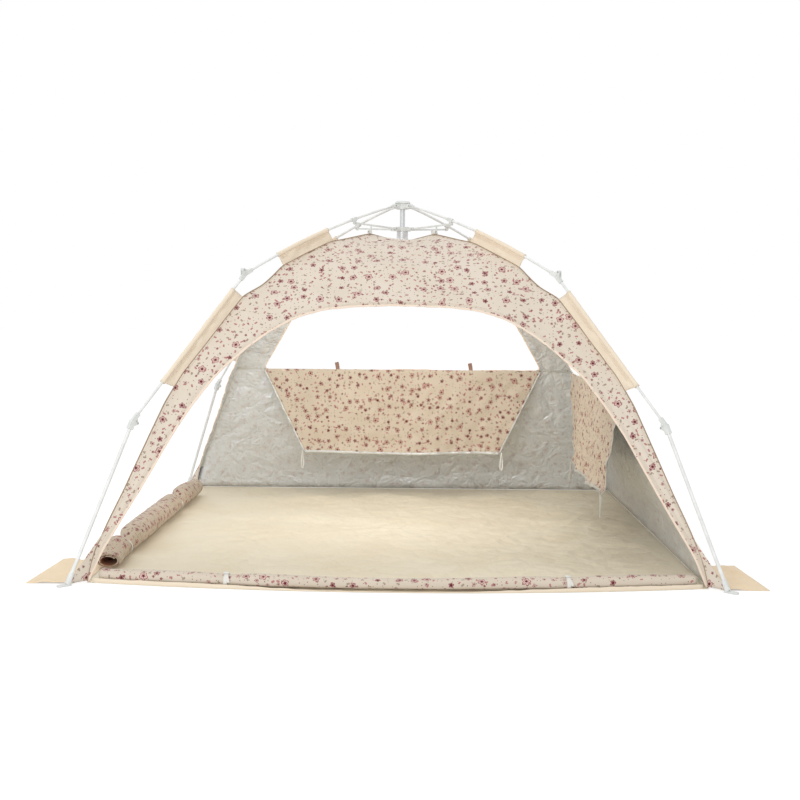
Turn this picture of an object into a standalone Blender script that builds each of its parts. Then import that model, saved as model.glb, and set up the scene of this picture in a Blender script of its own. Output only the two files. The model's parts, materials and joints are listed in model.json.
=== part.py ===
"""A beach tent hung inside an umbrella-style folding frame.

Metres, +Z up, origin on the ground under the hub. The front door faces -Y, and a second door faces -X.
The frame's four legs stand on the diagonals. A leg is drawn once in its own plane, with X outwards from
the hub, Z up and Y to its side, and is then set at four azimuths.
"""

import math

import bmesh
import bpy
from mathutils import Matrix, Vector

# Frame line in a leg's plane: distance out from the hub's axis, height, and drop from the hub's pivots
HUB_PIVOT_REACH = 0.046
HUB_PIVOT_HEIGHT = 1.362
UPPER_ELBOW_REACH = 0.822
UPPER_ELBOW_DROP = 0.298
LOWER_ELBOW_REACH = 1.312
LOWER_ELBOW_HEIGHT = 0.543
FOOT_REACH = 1.575
ARM_BOW = 0.023
ARM_SEGMENTS = 9

# Rods and their fits
ARM_RADIUS = 0.0048
LEG_RADIUS = 0.0068
ROD_SIDES = 10
FIT_GAP = 0.0003
PIN_RADIUS = 0.0024
OVERRUN = 0.004
WELD = 0.00001
ARC_STEP_DEGREES = 30
PIN_SIDES = 8

# Elbow knuckles
UPPER_PIVOT_OFFSET = 0.018
LOWER_PIVOT_OFFSET = 0.0168
SOCKET_LENGTH = 0.032
SOCKET_WALL = 0.0022
ROD_STOP = 0.006
BUTT_GAP = 0.00018
LOBE_RADIUS = 0.006
LOBE_ROOT = 0.018
LOBE_SINK = 0.001
TONGUE_HALF = 0.003
PIN_PROUD = 0.0005
EAR_THICKNESS = 0.0042

# Strut, its bracket on the arm, and the clip for the roof
STRUT_REACH = 0.275
STRUT_BELOW_ARM = 0.0152
BRACKET_LENGTH = 0.026
BRACKET_FLANK_SHARE = 0.8
BRACKET_HALF_WIDTH = 0.0065
STRUT_THICKNESS = 0.005
STRUT_SIDE_GAP = 0.0005
STRUT_HALF_HEIGHT = 0.0035
STRUT_EYE_RADIUS = 0.006
CLIP_REACH = 0.188
CLIP_WIDTH = 0.005
CLIP_FOOT = 0.012
CLIP_FOOT_HEIGHT = 0.004
CLIP_GAP = 0.0006

# Hub
HUB_CORE_RADIUS = 0.026
HUB_BELOW_PIVOT = 0.012
HUB_ABOVE_PIVOT = 0.014
HUB_EAR_RADIUS = 0.0085
HUB_EAR_THICKNESS = 0.0042
HUB_TONGUE_HALF = 0.004
ARM_EYE_RADIUS = 0.008
ARM_EYE_LENGTH = 0.022
ARM_EYE_HALF_HEIGHT = 0.0052
ARM_ROD_START = 0.010
CAP_TOP_RADIUS = 0.0245
CAP_RADIUS = 0.033
CAP_THICKNESS = 0.0067
CAP_LIP = 0.0022
CAP_WALL = 0.0025

# Centre rod, runner and the grey tube
HUB_ROD_RADIUS = 0.0105
HUB_ROD_BORE = 0.0076
HUB_ROD_CLEARANCE = 0.007
GUIDE_RADIUS = 0.007
GUIDE_TOP_DROP = 0.0055
RUNNER_PIVOT_REACH = 0.050
RUNNER_PIVOT_DROP = 0.095
RUNNER_RADIUS = 0.027
RUNNER_HALF_HEIGHT = 0.009
RUNNER_EAR_RADIUS = 0.0068
RUNNER_EAR_THICKNESS = 0.0033
TUBE_RADIUS = 0.0235
TUBE_WALL = 0.002
TUBE_LENGTH = 0.3007
TUBE_PLATE = 0.004
EAR_ROOT_REACH = 0.020
TURN_STEPS = 20

# Foot
FOOT_HEEL = 0.016
FOOT_TOE = 0.038
FOOT_HALF_WIDTH = 0.011
FOOT_THICKNESS = 0.006
FOOT_SOCKET_WALL = 0.0028
FOOT_SOCKET_SIDES = 14
FOOT_SOCKET_LENGTH = 0.039
FOOT_SOCKET_SKIN = 0.0008
LEG_END = 0.016

# Canopy: half widths and heights of the ridge seam, and the openings in the panels
FLOOR_HALF = 1.06
ROOF_DROP = 0.122
CLOTH_THICKNESS = 0.003
PANEL_GAP = 0.0003
RIDGE_SHARES = (
    (1.0, 0.0),
    (0.991, 0.04),
    (0.979, 0.081),
    (0.942, 0.161),
    (0.901, 0.242),
    (0.863, 0.323),
    (0.825, 0.403),
    (0.786, 0.484),
    (0.736, 0.565),
    (0.671, 0.645),
    (0.607, 0.726),
    (0.555, 0.79),
    (0.495, 0.823),
    (0.467, 0.847),
    (0.427, 0.887),
    (0.349, 0.927),
    (0.266, 0.968),
    (0.231, 0.974),
    (0.125, 1.0),
    (0.034, 0.983),
)
DOOR_HALF = 1.046
DOOR_HEIGHT = 0.951
DOOR_SHARES = (
    (1.007, 0.0),
    (0.97, 0.105),
    (0.916, 0.21),
    (0.862, 0.315),
    (0.81, 0.421),
    (0.759, 0.526),
    (0.699, 0.631),
    (0.627, 0.736),
    (0.526, 0.841),
    (0.458, 0.894),
    (0.376, 0.946),
    (0.279, 0.978),
    (0.163, 0.994),
    (0.0, 1.0),
)
WINDOW_BOTTOM = 0.63
WINDOW_TOP = 0.98
WINDOW_BOTTOM_HALF = 0.68
WINDOW_TOP_HALF = 0.46
WINDOW_CORNER = 0.03
WINDOW_CORNER_STEPS = 3

# Sleeves on the rods, and the tails to the feet
SLEEVE_CLEARANCE = 0.0006
SLEEVE_WALL = 0.0028
SLEEVE_CLOTH = 0.003
SEAM_BITE = 0.0007
UPPER_SLEEVE_START = 0.417
UPPER_SLEEVE_END = 0.667
UPPER_SEAM_START = 0.387
UPPER_SEAM_END = 0.64
LOWER_SLEEVE_START_GAP = 0.056
LOWER_SLEEVE_END_GAP = 0.121
LOWER_SEAM_START_INSET = 0.045
LOWER_SEAM_END_INSET = 0.051
TAIL_TOP = 0.17
TAIL_END_TOP = 0.024
TAIL_END_BOTTOM = 0.009

# Floor sheet and its sand flaps
FLOOR_THICKNESS = 0.0035
FRONT_BOW = 0.079
FRONT_POINTS = 16
SAND_FLAP_WIDTH = 0.202
SAND_FLAP_REAR_WIDTH = 0.183
SAND_FLAP_TOE_WIDTH = 0.048
SAND_FLAP_FRONT = 1.085
SAND_FLAP_REAR = 0.70
SAND_FLAP_ROOT_REAR = 0.74

# Rolled doors
FRONT_ROLL_HEIGHT = 0.045
FRONT_ROLL_DEPTH = 0.060
FRONT_ROLL_HALF = 1.015
FRONT_ROLL_INSET = 0.034
FRONT_ROLL_POINTS = 23
FRONT_TIE_HALF = 0.565
FRONT_PINCH_SHARE = 0.16
LEFT_ROLL_RADIUS = 0.050
LEFT_ROLL_REACH = 1.015
LEFT_ROLL_FRONT_REACH = 1.035
LEFT_ROLL_FRONT = 0.87
LEFT_ROLL_REAR = 0.77
LEFT_ROLL_POINTS = 25
LEFT_ROLL_MOUTH = 0.023
LEFT_ROLL_MOUTH_DEPTH = 0.11
LEFT_TIES = (-0.63, 0.32)
LEFT_PINCH_SHARE = 0.4
TIE_WIDTH = 0.06
ROLL_PROFILE_POINTS = 12

# Window flaps and the hems that they hang from
HEM_HEIGHT = 0.016
HEM_THICKNESS = 0.004
FLAP_THICKNESS = 0.0025
FLAP_BOTTOM = 0.22
FLAP_BOTTOM_HALF = 0.48
FLAP_RIPPLE = 0.009
FLAP_COLUMNS = 24
FLAP_ROWS = 5
FLAP_RIPPLES = 5
FLAP_RIPPLE_PHASE = 0.6
SHARP_EDGE_DEGREES = 35
SPLINE_WEIGHT_SHARE = 1.0

LEG_AZIMUTHS = {"rear_right": 45, "rear_left": 135, "front_left": 225, "front_right": 315}
FACING = {"right": 0, "rear": 90, "left": 180, "front": 270}

LEG_PLANE = Matrix.Rotation(math.radians(90), 4, "X")
WALL_PLANE = Matrix(((0, 0, 1, 0), (1, 0, 0, 0), (0, 1, 0, 0), (0, 0, 0, 1)))


def clear_scene():
    for obj in list(bpy.data.objects):
        bpy.data.objects.remove(obj, do_unlink=True)


def collection(name, hidden=False):
    made = bpy.data.collections.new(name)
    bpy.context.scene.collection.children.link(made)
    made.hide_render = hidden
    return made


clear_scene()
PARTS = collection("Beach tent")
SHAPES = collection("Cutters and blanks", hidden=True)


def finish(name, colour, roughness, metallic=0.0):
    """A Principled material of one plain colour."""
    material = bpy.data.materials.new(name)
    material.use_nodes = True
    shader = material.node_tree.nodes["Principled BSDF"]
    shader.inputs["Base Color"].default_value = (*colour, 1.0)
    shader.inputs["Roughness"].default_value = roughness
    shader.inputs["Metallic"].default_value = metallic
    material.diffuse_color = (*colour, 1.0)
    return material


ROD_WHITE = finish("rod_white", (0.78, 0.80, 0.78), 0.35)
MOULDED_WHITE = finish("moulded_white", (0.80, 0.81, 0.80), 0.5)
GREY_METAL = finish("grey_metal", (0.55, 0.56, 0.57), 0.35, 0.8)
PRINTED_CLOTH = finish("printed_cloth", (0.70, 0.62, 0.54), 0.85)
ROLLED_CLOTH = finish("rolled_cloth", (0.68, 0.58, 0.48), 0.85)
FLOOR_CLOTH = finish("floor_cloth", (0.80, 0.74, 0.55), 0.8)
FLAP_CLOTH = finish("flap_cloth", (0.56, 0.54, 0.50), 0.75)
HEM_CLOTH = finish("hem_cloth", (0.85, 0.72, 0.55), 0.8)


def linked(name, data, place=None):
    """A helper shape, out of the render until it becomes a part."""
    made = bpy.data.objects.new(name, data)
    made.display_type = "WIRE"
    made.hide_render = True
    SHAPES.objects.link(made)
    if place is not None:
        made.matrix_world = place
    return made


def settled(obj):
    """The evaluated shape as one welded mesh with its place in its points."""
    bpy.context.view_layer.update()
    graph = bpy.context.evaluated_depsgraph_get()
    mesh = bpy.data.meshes.new_from_object(obj.evaluated_get(graph))
    mesh.transform(obj.matrix_world)
    form = bmesh.new()
    form.from_mesh(mesh)
    bmesh.ops.remove_doubles(form, verts=form.verts, dist=WELD)
    bmesh.ops.recalc_face_normals(form, faces=form.faces)
    form.to_mesh(mesh)
    form.free()
    name = obj.name
    bpy.data.objects.remove(obj, do_unlink=True)
    return linked(name, mesh)


def combined(obj, tool, operation):
    """One shape after a Boolean with another, which is used up."""
    modifier = obj.modifiers.new(operation.title(), "BOOLEAN")
    modifier.operation = operation
    modifier.object = tool
    made = settled(obj)
    bpy.data.objects.remove(tool, do_unlink=True)
    return made


def fused(first, *others):
    for other in others:
        first = combined(first, other, "UNION")
    return first


def cut(first, *tools):
    for tool in tools:
        first = combined(first, tool, "DIFFERENCE")
    return first


def plate(name, outlines, half_thickness, place=LEG_PLANE, side=0.0):
    """A flat outline with its holes, extruded both ways from a plane that may stand off to one side."""
    curve = bpy.data.curves.new(name, "CURVE")
    curve.dimensions = "2D"
    curve.fill_mode = "BOTH"
    curve.extrude = half_thickness
    for outline in outlines:
        spline = curve.splines.new("POLY")
        spline.points.add(len(outline) - 1)
        for point, (across, up) in zip(spline.points, outline):
            point.co = (across, up, 0, SPLINE_WEIGHT_SHARE)
        spline.use_cyclic_u = True
    # The leg plane's own normal points to -Y, so a shift to +Y is a negative one along it
    return settled(linked(name, curve, place @ Matrix.Translation((0, 0, -side))))


def tube(name, points, radius, sides=ROD_SIDES, radii=None, profile=None):
    """A rod along the points. With a profile curve, each point's radius scales that instead."""
    curve = bpy.data.curves.new(name, "CURVE")
    curve.dimensions = "3D"
    if profile is None:
        curve.bevel_depth = radius
        curve.bevel_resolution = sides // 2 - 2
    else:
        curve.bevel_mode = "OBJECT"
        curve.bevel_object = profile
    curve.use_fill_caps = True
    spline = curve.splines.new("POLY")
    spline.points.add(len(points) - 1)
    for index, (point, place) in enumerate(zip(spline.points, points)):
        point.co = (*place, SPLINE_WEIGHT_SHARE)
        if radii is not None:
            point.radius = radii[index]
    made = settled(linked(name, curve))
    if profile is not None:
        bpy.data.objects.remove(profile, do_unlink=True)
    return made


def turned(name, profile, steps=TURN_STEPS):
    """A profile of (radius, height) points turned round Z, with its outer side running down."""
    mesh = bpy.data.meshes.new(name)
    count = len(profile)
    closed = profile[0][0] > 0
    edges = [(i, (i + 1) % count) for i in range(count if closed else count - 1)]
    mesh.from_pydata([(radius, 0, height) for radius, height in profile], edges, [])
    obj = linked(name, mesh)
    screw = obj.modifiers.new("Turn", "SCREW")
    screw.axis = "Z"
    screw.steps = steps
    screw.render_steps = steps
    screw.use_merge_vertices = True
    screw.merge_threshold = WELD
    return settled(obj)


def pin(name, x, z, side_from, side_to, radius):
    """A pin across the leg plane."""
    return tube(name, [(x, side_from, z), (x, side_to, z)], radius, sides=PIN_SIDES)


def arc(centre, radius, start, end, step=ARC_STEP_DEGREES):
    """Points on an arc in degrees, counter-clockwise, both ends included."""
    count = max(2, math.ceil((end - start) / step) + 1)
    angles = [math.radians(start + (end - start) * i / (count - 1)) for i in range(count)]
    return [(centre[0] + radius * math.cos(a), centre[1] + radius * math.sin(a)) for a in angles]


def hole(centre, radius):
    turn = 360 / PIN_SIDES
    return arc(centre, radius, 0, 360 - turn, turn)


def around(radius, gap=FIT_GAP, sides=ROD_SIDES):
    """The corner radius of a faceted bore that leaves the gap all round a rod."""
    return (radius + gap) / math.cos(math.pi / sides)


def part(name, shape, material, origin=(0, 0, 0), azimuth=0):
    """A finished part: its mesh sits about its origin, and the object carries place and turn."""
    mesh = shape.data
    if shape.users_collection:
        mesh.name = name
        mesh.transform(Matrix.Translation(-Vector(origin)))
        mesh.materials.clear()
        mesh.materials.append(material)
        mesh.shade_smooth()
        mesh.set_sharp_from_angle(angle=math.radians(SHARP_EDGE_DEGREES))
        bpy.data.objects.remove(shape, do_unlink=True)
    return placed(name, mesh, origin, azimuth)


def placed(name, mesh, origin=(0, 0, 0), azimuth=0):
    made = bpy.data.objects.new(name, mesh)
    PARTS.objects.link(made)
    turn = Matrix.Rotation(math.radians(azimuth), 4, "Z")
    made.location = turn @ Vector(origin)
    made.rotation_euler = (0, 0, math.radians(azimuth))
    return made


def on_each_leg(stem, shape, material, origin):
    """The same piece on each of the four legs, as four objects that share its mesh."""
    mesh = None
    for corner, azimuth in LEG_AZIMUTHS.items():
        name = f"{stem}_{corner}"
        if mesh is None:
            mesh = part(name, shape, material, origin, azimuth).data
        else:
            placed(name, mesh, origin, azimuth)


def direction(start, end):
    return (Vector(end) - Vector(start)).normalized()


def outward(along):
    """The normal of a leg-plane direction on the tent's outer side."""
    return Vector((-along.y, along.x))


def arm_points():
    """The bowed arm as a polyline in the leg plane, from the hub pivot to the upper elbow."""
    start = Vector((HUB_PIVOT_REACH, HUB_PIVOT_HEIGHT))
    end = Vector((UPPER_ELBOW_REACH, UPPER_ELBOW_HEIGHT))
    rise = outward(direction(start, end)) * 4 * ARM_BOW
    shares = [i / ARM_SEGMENTS for i in range(ARM_SEGMENTS + 1)]
    return [start.lerp(end, share) + rise * share * (1 - share) for share in shares]


def point_at(points, reach):
    """The point of a leg-plane polyline at this distance from the axis, and the line's way there."""
    for start, end in zip(points, points[1:]):
        if start.x <= reach <= end.x:
            share = (reach - start.x) / (end.x - start.x)
            return start.lerp(end, share), direction(start, end)
    raise ValueError("the line doesn't reach that far")


def stretch(points, start, end):
    """The part of a leg-plane polyline between two distances from the axis."""
    inner = [p for p in points if start < p.x < end]
    return [point_at(points, start)[0], *inner, point_at(points, end)[0]]


def in_leg_plane(points, side=0.0):
    return [(p[0], side, p[1]) for p in points]


UPPER_ELBOW_HEIGHT = HUB_PIVOT_HEIGHT - UPPER_ELBOW_DROP
RUNNER_PIVOT_HEIGHT = HUB_PIVOT_HEIGHT - RUNNER_PIVOT_DROP
ROOF_HEIGHT = HUB_PIVOT_HEIGHT - ROOF_DROP
ARM = arm_points()
UPPER_ELBOW = Vector((UPPER_ELBOW_REACH, UPPER_ELBOW_HEIGHT))
LOWER_ELBOW = Vector((LOWER_ELBOW_REACH, LOWER_ELBOW_HEIGHT))
GROUND = Vector((FOOT_REACH, 0))
ARM_WAY = direction(ARM[-2], ARM[-1])
MID_WAY = direction(UPPER_ELBOW, LOWER_ELBOW)
LEG_WAY = direction(LOWER_ELBOW, GROUND)
STRUT_PIVOT = point_at(ARM, STRUT_REACH)[0] - Vector((0, STRUT_BELOW_ARM))
RUNNER_PIVOT = Vector((RUNNER_PIVOT_REACH, RUNNER_PIVOT_HEIGHT))
TUBE_TOP = RUNNER_PIVOT_HEIGHT - RUNNER_HALF_HEIGHT - FIT_GAP
TUBE_FLOOR = TUBE_TOP - TUBE_LENGTH + TUBE_PLATE


def elbow(kink, before, after, offset):
    """The hinge pivot beside a kink in the frame line, and half the angle that the line bends there.

    A positive offset puts the pivot on the tent's outer side, and a negative one on its inner side.
    """
    half = before.angle(after) / 2
    bisector = (outward(before) + outward(after)).normalized()
    return kink + bisector * offset / math.cos(half), half


# The two elbows fold opposite ways, so that the folded sections lie in a zigzag
UPPER_PIVOT, UPPER_HALF_BEND = elbow(UPPER_ELBOW, ARM_WAY, MID_WAY, UPPER_PIVOT_OFFSET)
LOWER_PIVOT, LOWER_HALF_BEND = elbow(LOWER_ELBOW, MID_WAY, LEG_WAY, -LOWER_PIVOT_OFFSET)
HUB_ORIGIN = (HUB_PIVOT_REACH, 0, HUB_PIVOT_HEIGHT)
UPPER_ORIGIN = (UPPER_PIVOT.x, 0, UPPER_PIVOT.y)
LOWER_ORIGIN = (LOWER_PIVOT.x, 0, LOWER_PIVOT.y)
RUNNER_ORIGIN = (RUNNER_PIVOT_REACH, 0, RUNNER_PIVOT_HEIGHT)


def knuckle(name, kink, toward, normal, half_bend, offset, rod_radius, is_clevis):
    """An elbow end: a socket for the rod and, beside it, the tongue or the two ears of the hinge.

    Its outline is drawn along the rod, which runs toward the kink, with the hinge's side up. The bend is
    negative where the line bends towards that side.
    """
    slope = math.tan(half_bend)
    wall = rod_radius + SOCKET_WALL
    root = wall - LOBE_SINK
    hinge = (offset * slope, offset)
    socket = [
        (-SOCKET_LENGTH, -wall),
        (-wall * slope - BUTT_GAP, -wall),
        (wall * slope - BUTT_GAP, wall),
        (-SOCKET_LENGTH, wall),
    ]
    back = Vector((-LOBE_ROOT - hinge[0], root - hinge[1]))
    back_angle = math.degrees(math.atan2(back.y, back.x)) % 360
    tangent = back_angle - math.degrees(math.acos(LOBE_RADIUS / back.length))
    lobe = [(-LOBE_ROOT, root), (root * slope - BUTT_GAP, root)]
    lobe += arc(hinge, LOBE_RADIUS, -90 - math.degrees(half_bend), tangent)
    side_way = Vector((toward.x, 0, toward.y)).cross(Vector((normal.x, 0, normal.y)))
    place = Matrix(
        (
            (toward.x, normal.x, side_way.x, kink.x),
            (0, 0, side_way.y, 0),
            (toward.y, normal.y, side_way.z, kink.y),
            (0, 0, 0, 1),
        )
    )
    body = plate(name, [socket], wall, place)
    if is_clevis:
        ear_half = EAR_THICKNESS / 2
        ear_side = TONGUE_HALF + FIT_GAP + ear_half
        ears = [plate("ear", [lobe], ear_half, place, side) for side in (-ear_side, ear_side)]
        reach = ear_side + ear_half + PIN_PROUD
        pivot = kink + toward * hinge[0] + normal * hinge[1]
        body = fused(body, *ears, pin("pin", pivot.x, pivot.y, -reach, reach, PIN_RADIUS))
    else:
        eye = hole(hinge, around(PIN_RADIUS, sides=PIN_SIDES))
        body = fused(body, plate("tongue", [lobe, eye], TONGUE_HALF, place))
    start = kink - toward * (SOCKET_LENGTH + OVERRUN)
    end = kink - toward * (ROD_STOP - FIT_GAP)
    return cut(body, tube("bore", in_leg_plane([start, end]), around(rod_radius)))


def arm_rod():
    """The bowed rod with the flat eye that turns on the hub's pin."""
    along = direction(ARM[0], ARM[1])
    up = outward(along)
    start = ARM[0]
    bar_end = start + along * ARM_EYE_LENGTH
    angle = math.degrees(math.atan2(along.y, along.x))
    opening = math.degrees(math.asin(ARM_EYE_HALF_HEIGHT / ARM_EYE_RADIUS))
    outline = [bar_end + up * ARM_EYE_HALF_HEIGHT]
    outline += arc(start, ARM_EYE_RADIUS, angle + opening, angle + 360 - opening)
    outline += [bar_end - up * ARM_EYE_HALF_HEIGHT]
    eye_hole = hole(start, around(PIN_RADIUS, sides=PIN_SIDES))
    eye = plate("eye", [outline, eye_hole], HUB_TONGUE_HALF)
    end = ARM[-1] - ARM_WAY * ROD_STOP
    line = [start + along * ARM_ROD_START, *ARM[1:-1], end]
    return fused(tube("arm", in_leg_plane(line), ARM_RADIUS), eye)


def arm_bracket():
    """The moulded block on the arm, whose ear stands beside the strut's outer eye."""
    centre, along = point_at(ARM, STRUT_REACH)
    up = outward(along)
    half = BRACKET_LENGTH / 2
    wall = ARM_RADIUS + SOCKET_WALL
    block = [
        centre - along * half - up * wall,
        centre + along * half - up * wall,
        centre + along * half + up * wall,
        centre - along * half + up * wall,
    ]
    angle = math.degrees(math.atan2(along.y, along.x))
    root = up * (wall - LOBE_SINK)
    flank_half = along * half * BRACKET_FLANK_SHARE
    ear = [centre - flank_half - root]
    ear += arc(STRUT_PIVOT, STRUT_EYE_RADIUS, angle + 180, angle + 360)
    ear += [centre + flank_half - root]
    ear_half = BRACKET_HALF_WIDTH / 2
    body = plate("bracket", [block], BRACKET_HALF_WIDTH)
    flank_thickness = ear_half - PIN_PROUD / 2
    flank = plate("flank", [ear], flank_thickness, side=flank_thickness)
    start = centre - along * (half + OVERRUN)
    end = centre + along * (half + OVERRUN)
    return cut(fused(body, flank), tube("bore", in_leg_plane([start, end]), around(ARM_RADIUS)))


def strut():
    """A flat bar from the runner to the arm's bracket, with the clip under it that holds up the roof."""
    along = direction(RUNNER_PIVOT, STRUT_PIVOT)
    up = outward(along)
    angle = math.degrees(math.atan2(along.y, along.x))
    opening = math.degrees(math.asin(STRUT_HALF_HEIGHT / STRUT_EYE_RADIUS))
    clip_at = RUNNER_PIVOT + along * ((CLIP_REACH - RUNNER_PIVOT_REACH) / along.x)
    roof = ridge_height(CLIP_REACH / math.sqrt(2))
    drop = clip_at.y - roof - CLIP_GAP
    foot_top = drop - CLIP_FOOT_HEIGHT
    outline = arc(RUNNER_PIVOT, STRUT_EYE_RADIUS, angle + opening, angle + 360 - opening)
    outline += [
        clip_at - along * CLIP_WIDTH / 2 - up * STRUT_HALF_HEIGHT,
        clip_at - along * CLIP_WIDTH / 2 - up * foot_top,
        clip_at - along * CLIP_FOOT / 2 - up * foot_top,
        clip_at - along * CLIP_FOOT / 2 - up * drop,
        clip_at + along * CLIP_FOOT / 2 - up * drop,
        clip_at + along * CLIP_FOOT / 2 - up * foot_top,
        clip_at + along * CLIP_WIDTH / 2 - up * foot_top,
        clip_at + along * CLIP_WIDTH / 2 - up * STRUT_HALF_HEIGHT,
    ]
    outline += arc(STRUT_PIVOT, STRUT_EYE_RADIUS, angle - 180 + opening, angle + 180 - opening)
    bore = around(PIN_RADIUS, sides=PIN_SIDES)
    eyes = [hole(RUNNER_PIVOT, bore), hole(STRUT_PIVOT, bore)]
    return plate("strut", [outline, *eyes], STRUT_THICKNESS / 2, side=strut_side())


def strut_side():
    """How far the strut's middle plane stands beside the leg's plane."""
    return BRACKET_HALF_WIDTH + STRUT_SIDE_GAP + STRUT_THICKNESS / 2


def foot():
    """A flat pad with a slanting socket round the end of the leg."""
    corner = FOOT_HALF_WIDTH
    heel = FOOT_REACH - FOOT_HEEL + corner
    toe = FOOT_REACH + FOOT_TOE - corner
    outline = arc((toe, 0), corner, -90, 90) + arc((heel, 0), corner, 90, 270)
    lift = Matrix.Translation((0, 0, FOOT_THICKNESS / 2))
    pad = plate("foot", [outline], FOOT_THICKNESS / 2, lift)
    wall = LEG_RADIUS + FOOT_SOCKET_WALL
    socket_end = (FOOT_SOCKET_SKIN + wall * LEG_WAY.x) / -LEG_WAY.y
    low = GROUND - LEG_WAY * socket_end
    high = GROUND - LEG_WAY * (socket_end + FOOT_SOCKET_LENGTH)
    socket = tube("socket", in_leg_plane([high, low]), wall, FOOT_SOCKET_SIDES)
    start = GROUND - LEG_WAY * (socket_end + FOOT_SOCKET_LENGTH + OVERRUN)
    end = GROUND - LEG_WAY * (LEG_END - FIT_GAP)
    return cut(fused(pad, socket), tube("bore", in_leg_plane([start, end]), around(LEG_RADIUS)))


def hub_body():
    """The core with its bore, and on each diagonal two ears and the pin that an arm turns on."""
    bore = HUB_ROD_RADIUS + FIT_GAP * 2
    low = HUB_PIVOT_HEIGHT - HUB_BELOW_PIVOT
    high = HUB_PIVOT_HEIGHT + HUB_ABOVE_PIVOT
    body = turned("hub", [(bore, high), (HUB_CORE_RADIUS, high), (HUB_CORE_RADIUS, low), (bore, low)])
    centre = (HUB_PIVOT_REACH, HUB_PIVOT_HEIGHT)
    outline = [(EAR_ROOT_REACH, HUB_PIVOT_HEIGHT - HUB_EAR_RADIUS)]
    outline += arc(centre, HUB_EAR_RADIUS, -90, 90)
    outline += [(EAR_ROOT_REACH, HUB_PIVOT_HEIGHT + HUB_EAR_RADIUS)]
    inner = HUB_TONGUE_HALF + FIT_GAP
    outer = inner + HUB_EAR_THICKNESS
    return with_clevises(body, outline, centre, (-outer, -inner), (inner, outer))


def runner():
    """The slider, whose ears stand to one side so that a folded strut lies beside its arm."""
    bore = HUB_ROD_RADIUS + FIT_GAP * 2
    low = RUNNER_PIVOT_HEIGHT - RUNNER_HALF_HEIGHT
    high = RUNNER_PIVOT_HEIGHT + RUNNER_HALF_HEIGHT
    body = turned("runner", [(bore, high), (RUNNER_RADIUS, high), (RUNNER_RADIUS, low), (bore, low)])
    centre = (RUNNER_PIVOT_REACH, RUNNER_PIVOT_HEIGHT)
    outline = [(EAR_ROOT_REACH, RUNNER_PIVOT_HEIGHT - RUNNER_EAR_RADIUS)]
    outline += arc(centre, RUNNER_EAR_RADIUS, -90, 90)
    outline += [(EAR_ROOT_REACH, RUNNER_PIVOT_HEIGHT + RUNNER_EAR_RADIUS)]
    near = strut_side() - STRUT_THICKNESS / 2 - FIT_GAP
    far = strut_side() + STRUT_THICKNESS / 2 + FIT_GAP
    near_ear = (near - RUNNER_EAR_THICKNESS, near)
    far_ear = (far, far + RUNNER_EAR_THICKNESS)
    return with_clevises(body, outline, centre, near_ear, far_ear)


def with_clevises(body, outline, centre, first, second):
    """The body with two ears and a pin on each diagonal. An ear is given by its two faces' places."""
    for azimuth in LEG_AZIMUTHS.values():
        turn = Matrix.Rotation(math.radians(azimuth), 4, "Z")
        shapes = []
        for low, high in (first, second):
            shapes.append(plate("ear", [outline], (high - low) / 2, side=(low + high) / 2))
        shapes.append(pin("pin", *centre, first[0] - PIN_PROUD, second[1] + PIN_PROUD, PIN_RADIUS))
        for shape in shapes:
            shape.data.transform(turn)
        body = fused(body, *shapes)
    return body


def hub_cap():
    low = HUB_PIVOT_HEIGHT + HUB_ABOVE_PIVOT + FIT_GAP
    high = low + CAP_THICKNESS
    lip = low - CAP_LIP
    profile = [
        (0, high),
        (CAP_TOP_RADIUS, high),
        (CAP_RADIUS - CAP_WALL, high - CAP_THICKNESS / 3),
        (CAP_RADIUS, lip),
        (CAP_RADIUS - CAP_WALL, lip),
        (HUB_CORE_RADIUS + FIT_GAP, low),
        (0, low),
    ]
    return turned("hub_cap", profile)


def hub_rod():
    top = HUB_PIVOT_HEIGHT + HUB_ABOVE_PIVOT - CAP_WALL
    bottom = TUBE_FLOOR + HUB_ROD_CLEARANCE
    profile = [
        (HUB_ROD_BORE, top),
        (HUB_ROD_RADIUS, top),
        (HUB_ROD_RADIUS, bottom),
        (HUB_ROD_BORE, bottom),
    ]
    return turned("hub_rod", profile)


def runner_tube():
    """The wide tube under the runner, closed below, and the guide rod that stands in it."""
    guide_top = HUB_PIVOT_HEIGHT + HUB_ABOVE_PIVOT - CAP_WALL - GUIDE_TOP_DROP
    bottom = TUBE_FLOOR - TUBE_PLATE
    profile = [
        (0, guide_top),
        (GUIDE_RADIUS, guide_top),
        (GUIDE_RADIUS, TUBE_FLOOR),
        (TUBE_RADIUS - TUBE_WALL, TUBE_FLOOR),
        (TUBE_RADIUS - TUBE_WALL, TUBE_TOP),
        (TUBE_RADIUS, TUBE_TOP),
        (TUBE_RADIUS, bottom),
        (0, bottom),
    ]
    return turned("runner_tube", profile)


def ridge_points():
    """The outer line of a panel, as (half width, height), from the floor to the hole round the tube."""
    foot_height = FLOOR_THICKNESS + PANEL_GAP
    rise = ROOF_HEIGHT - foot_height
    return [(FLOOR_HALF * width, foot_height + rise * height) for width, height in RIDGE_SHARES]


def ridge_width(height):
    """The half width of the canopy at a height below the roof's peak."""
    points = ridge_points()
    for (low_width, low), (high_width, high) in zip(points, points[1:]):
        if low <= height <= high:
            return low_width + (high_width - low_width) * (height - low) / (high - low)
    raise ValueError("the height is outside the canopy")


def ridge_height(width):
    """The height of the ridge where the canopy is this wide."""
    points = ridge_points()
    for (outer, low), (inner, high) in zip(points, points[1:]):
        if inner <= width <= outer:
            return low + (high - low) * (outer - width) / (outer - inner)
    raise ValueError("the width is outside the canopy")


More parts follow.
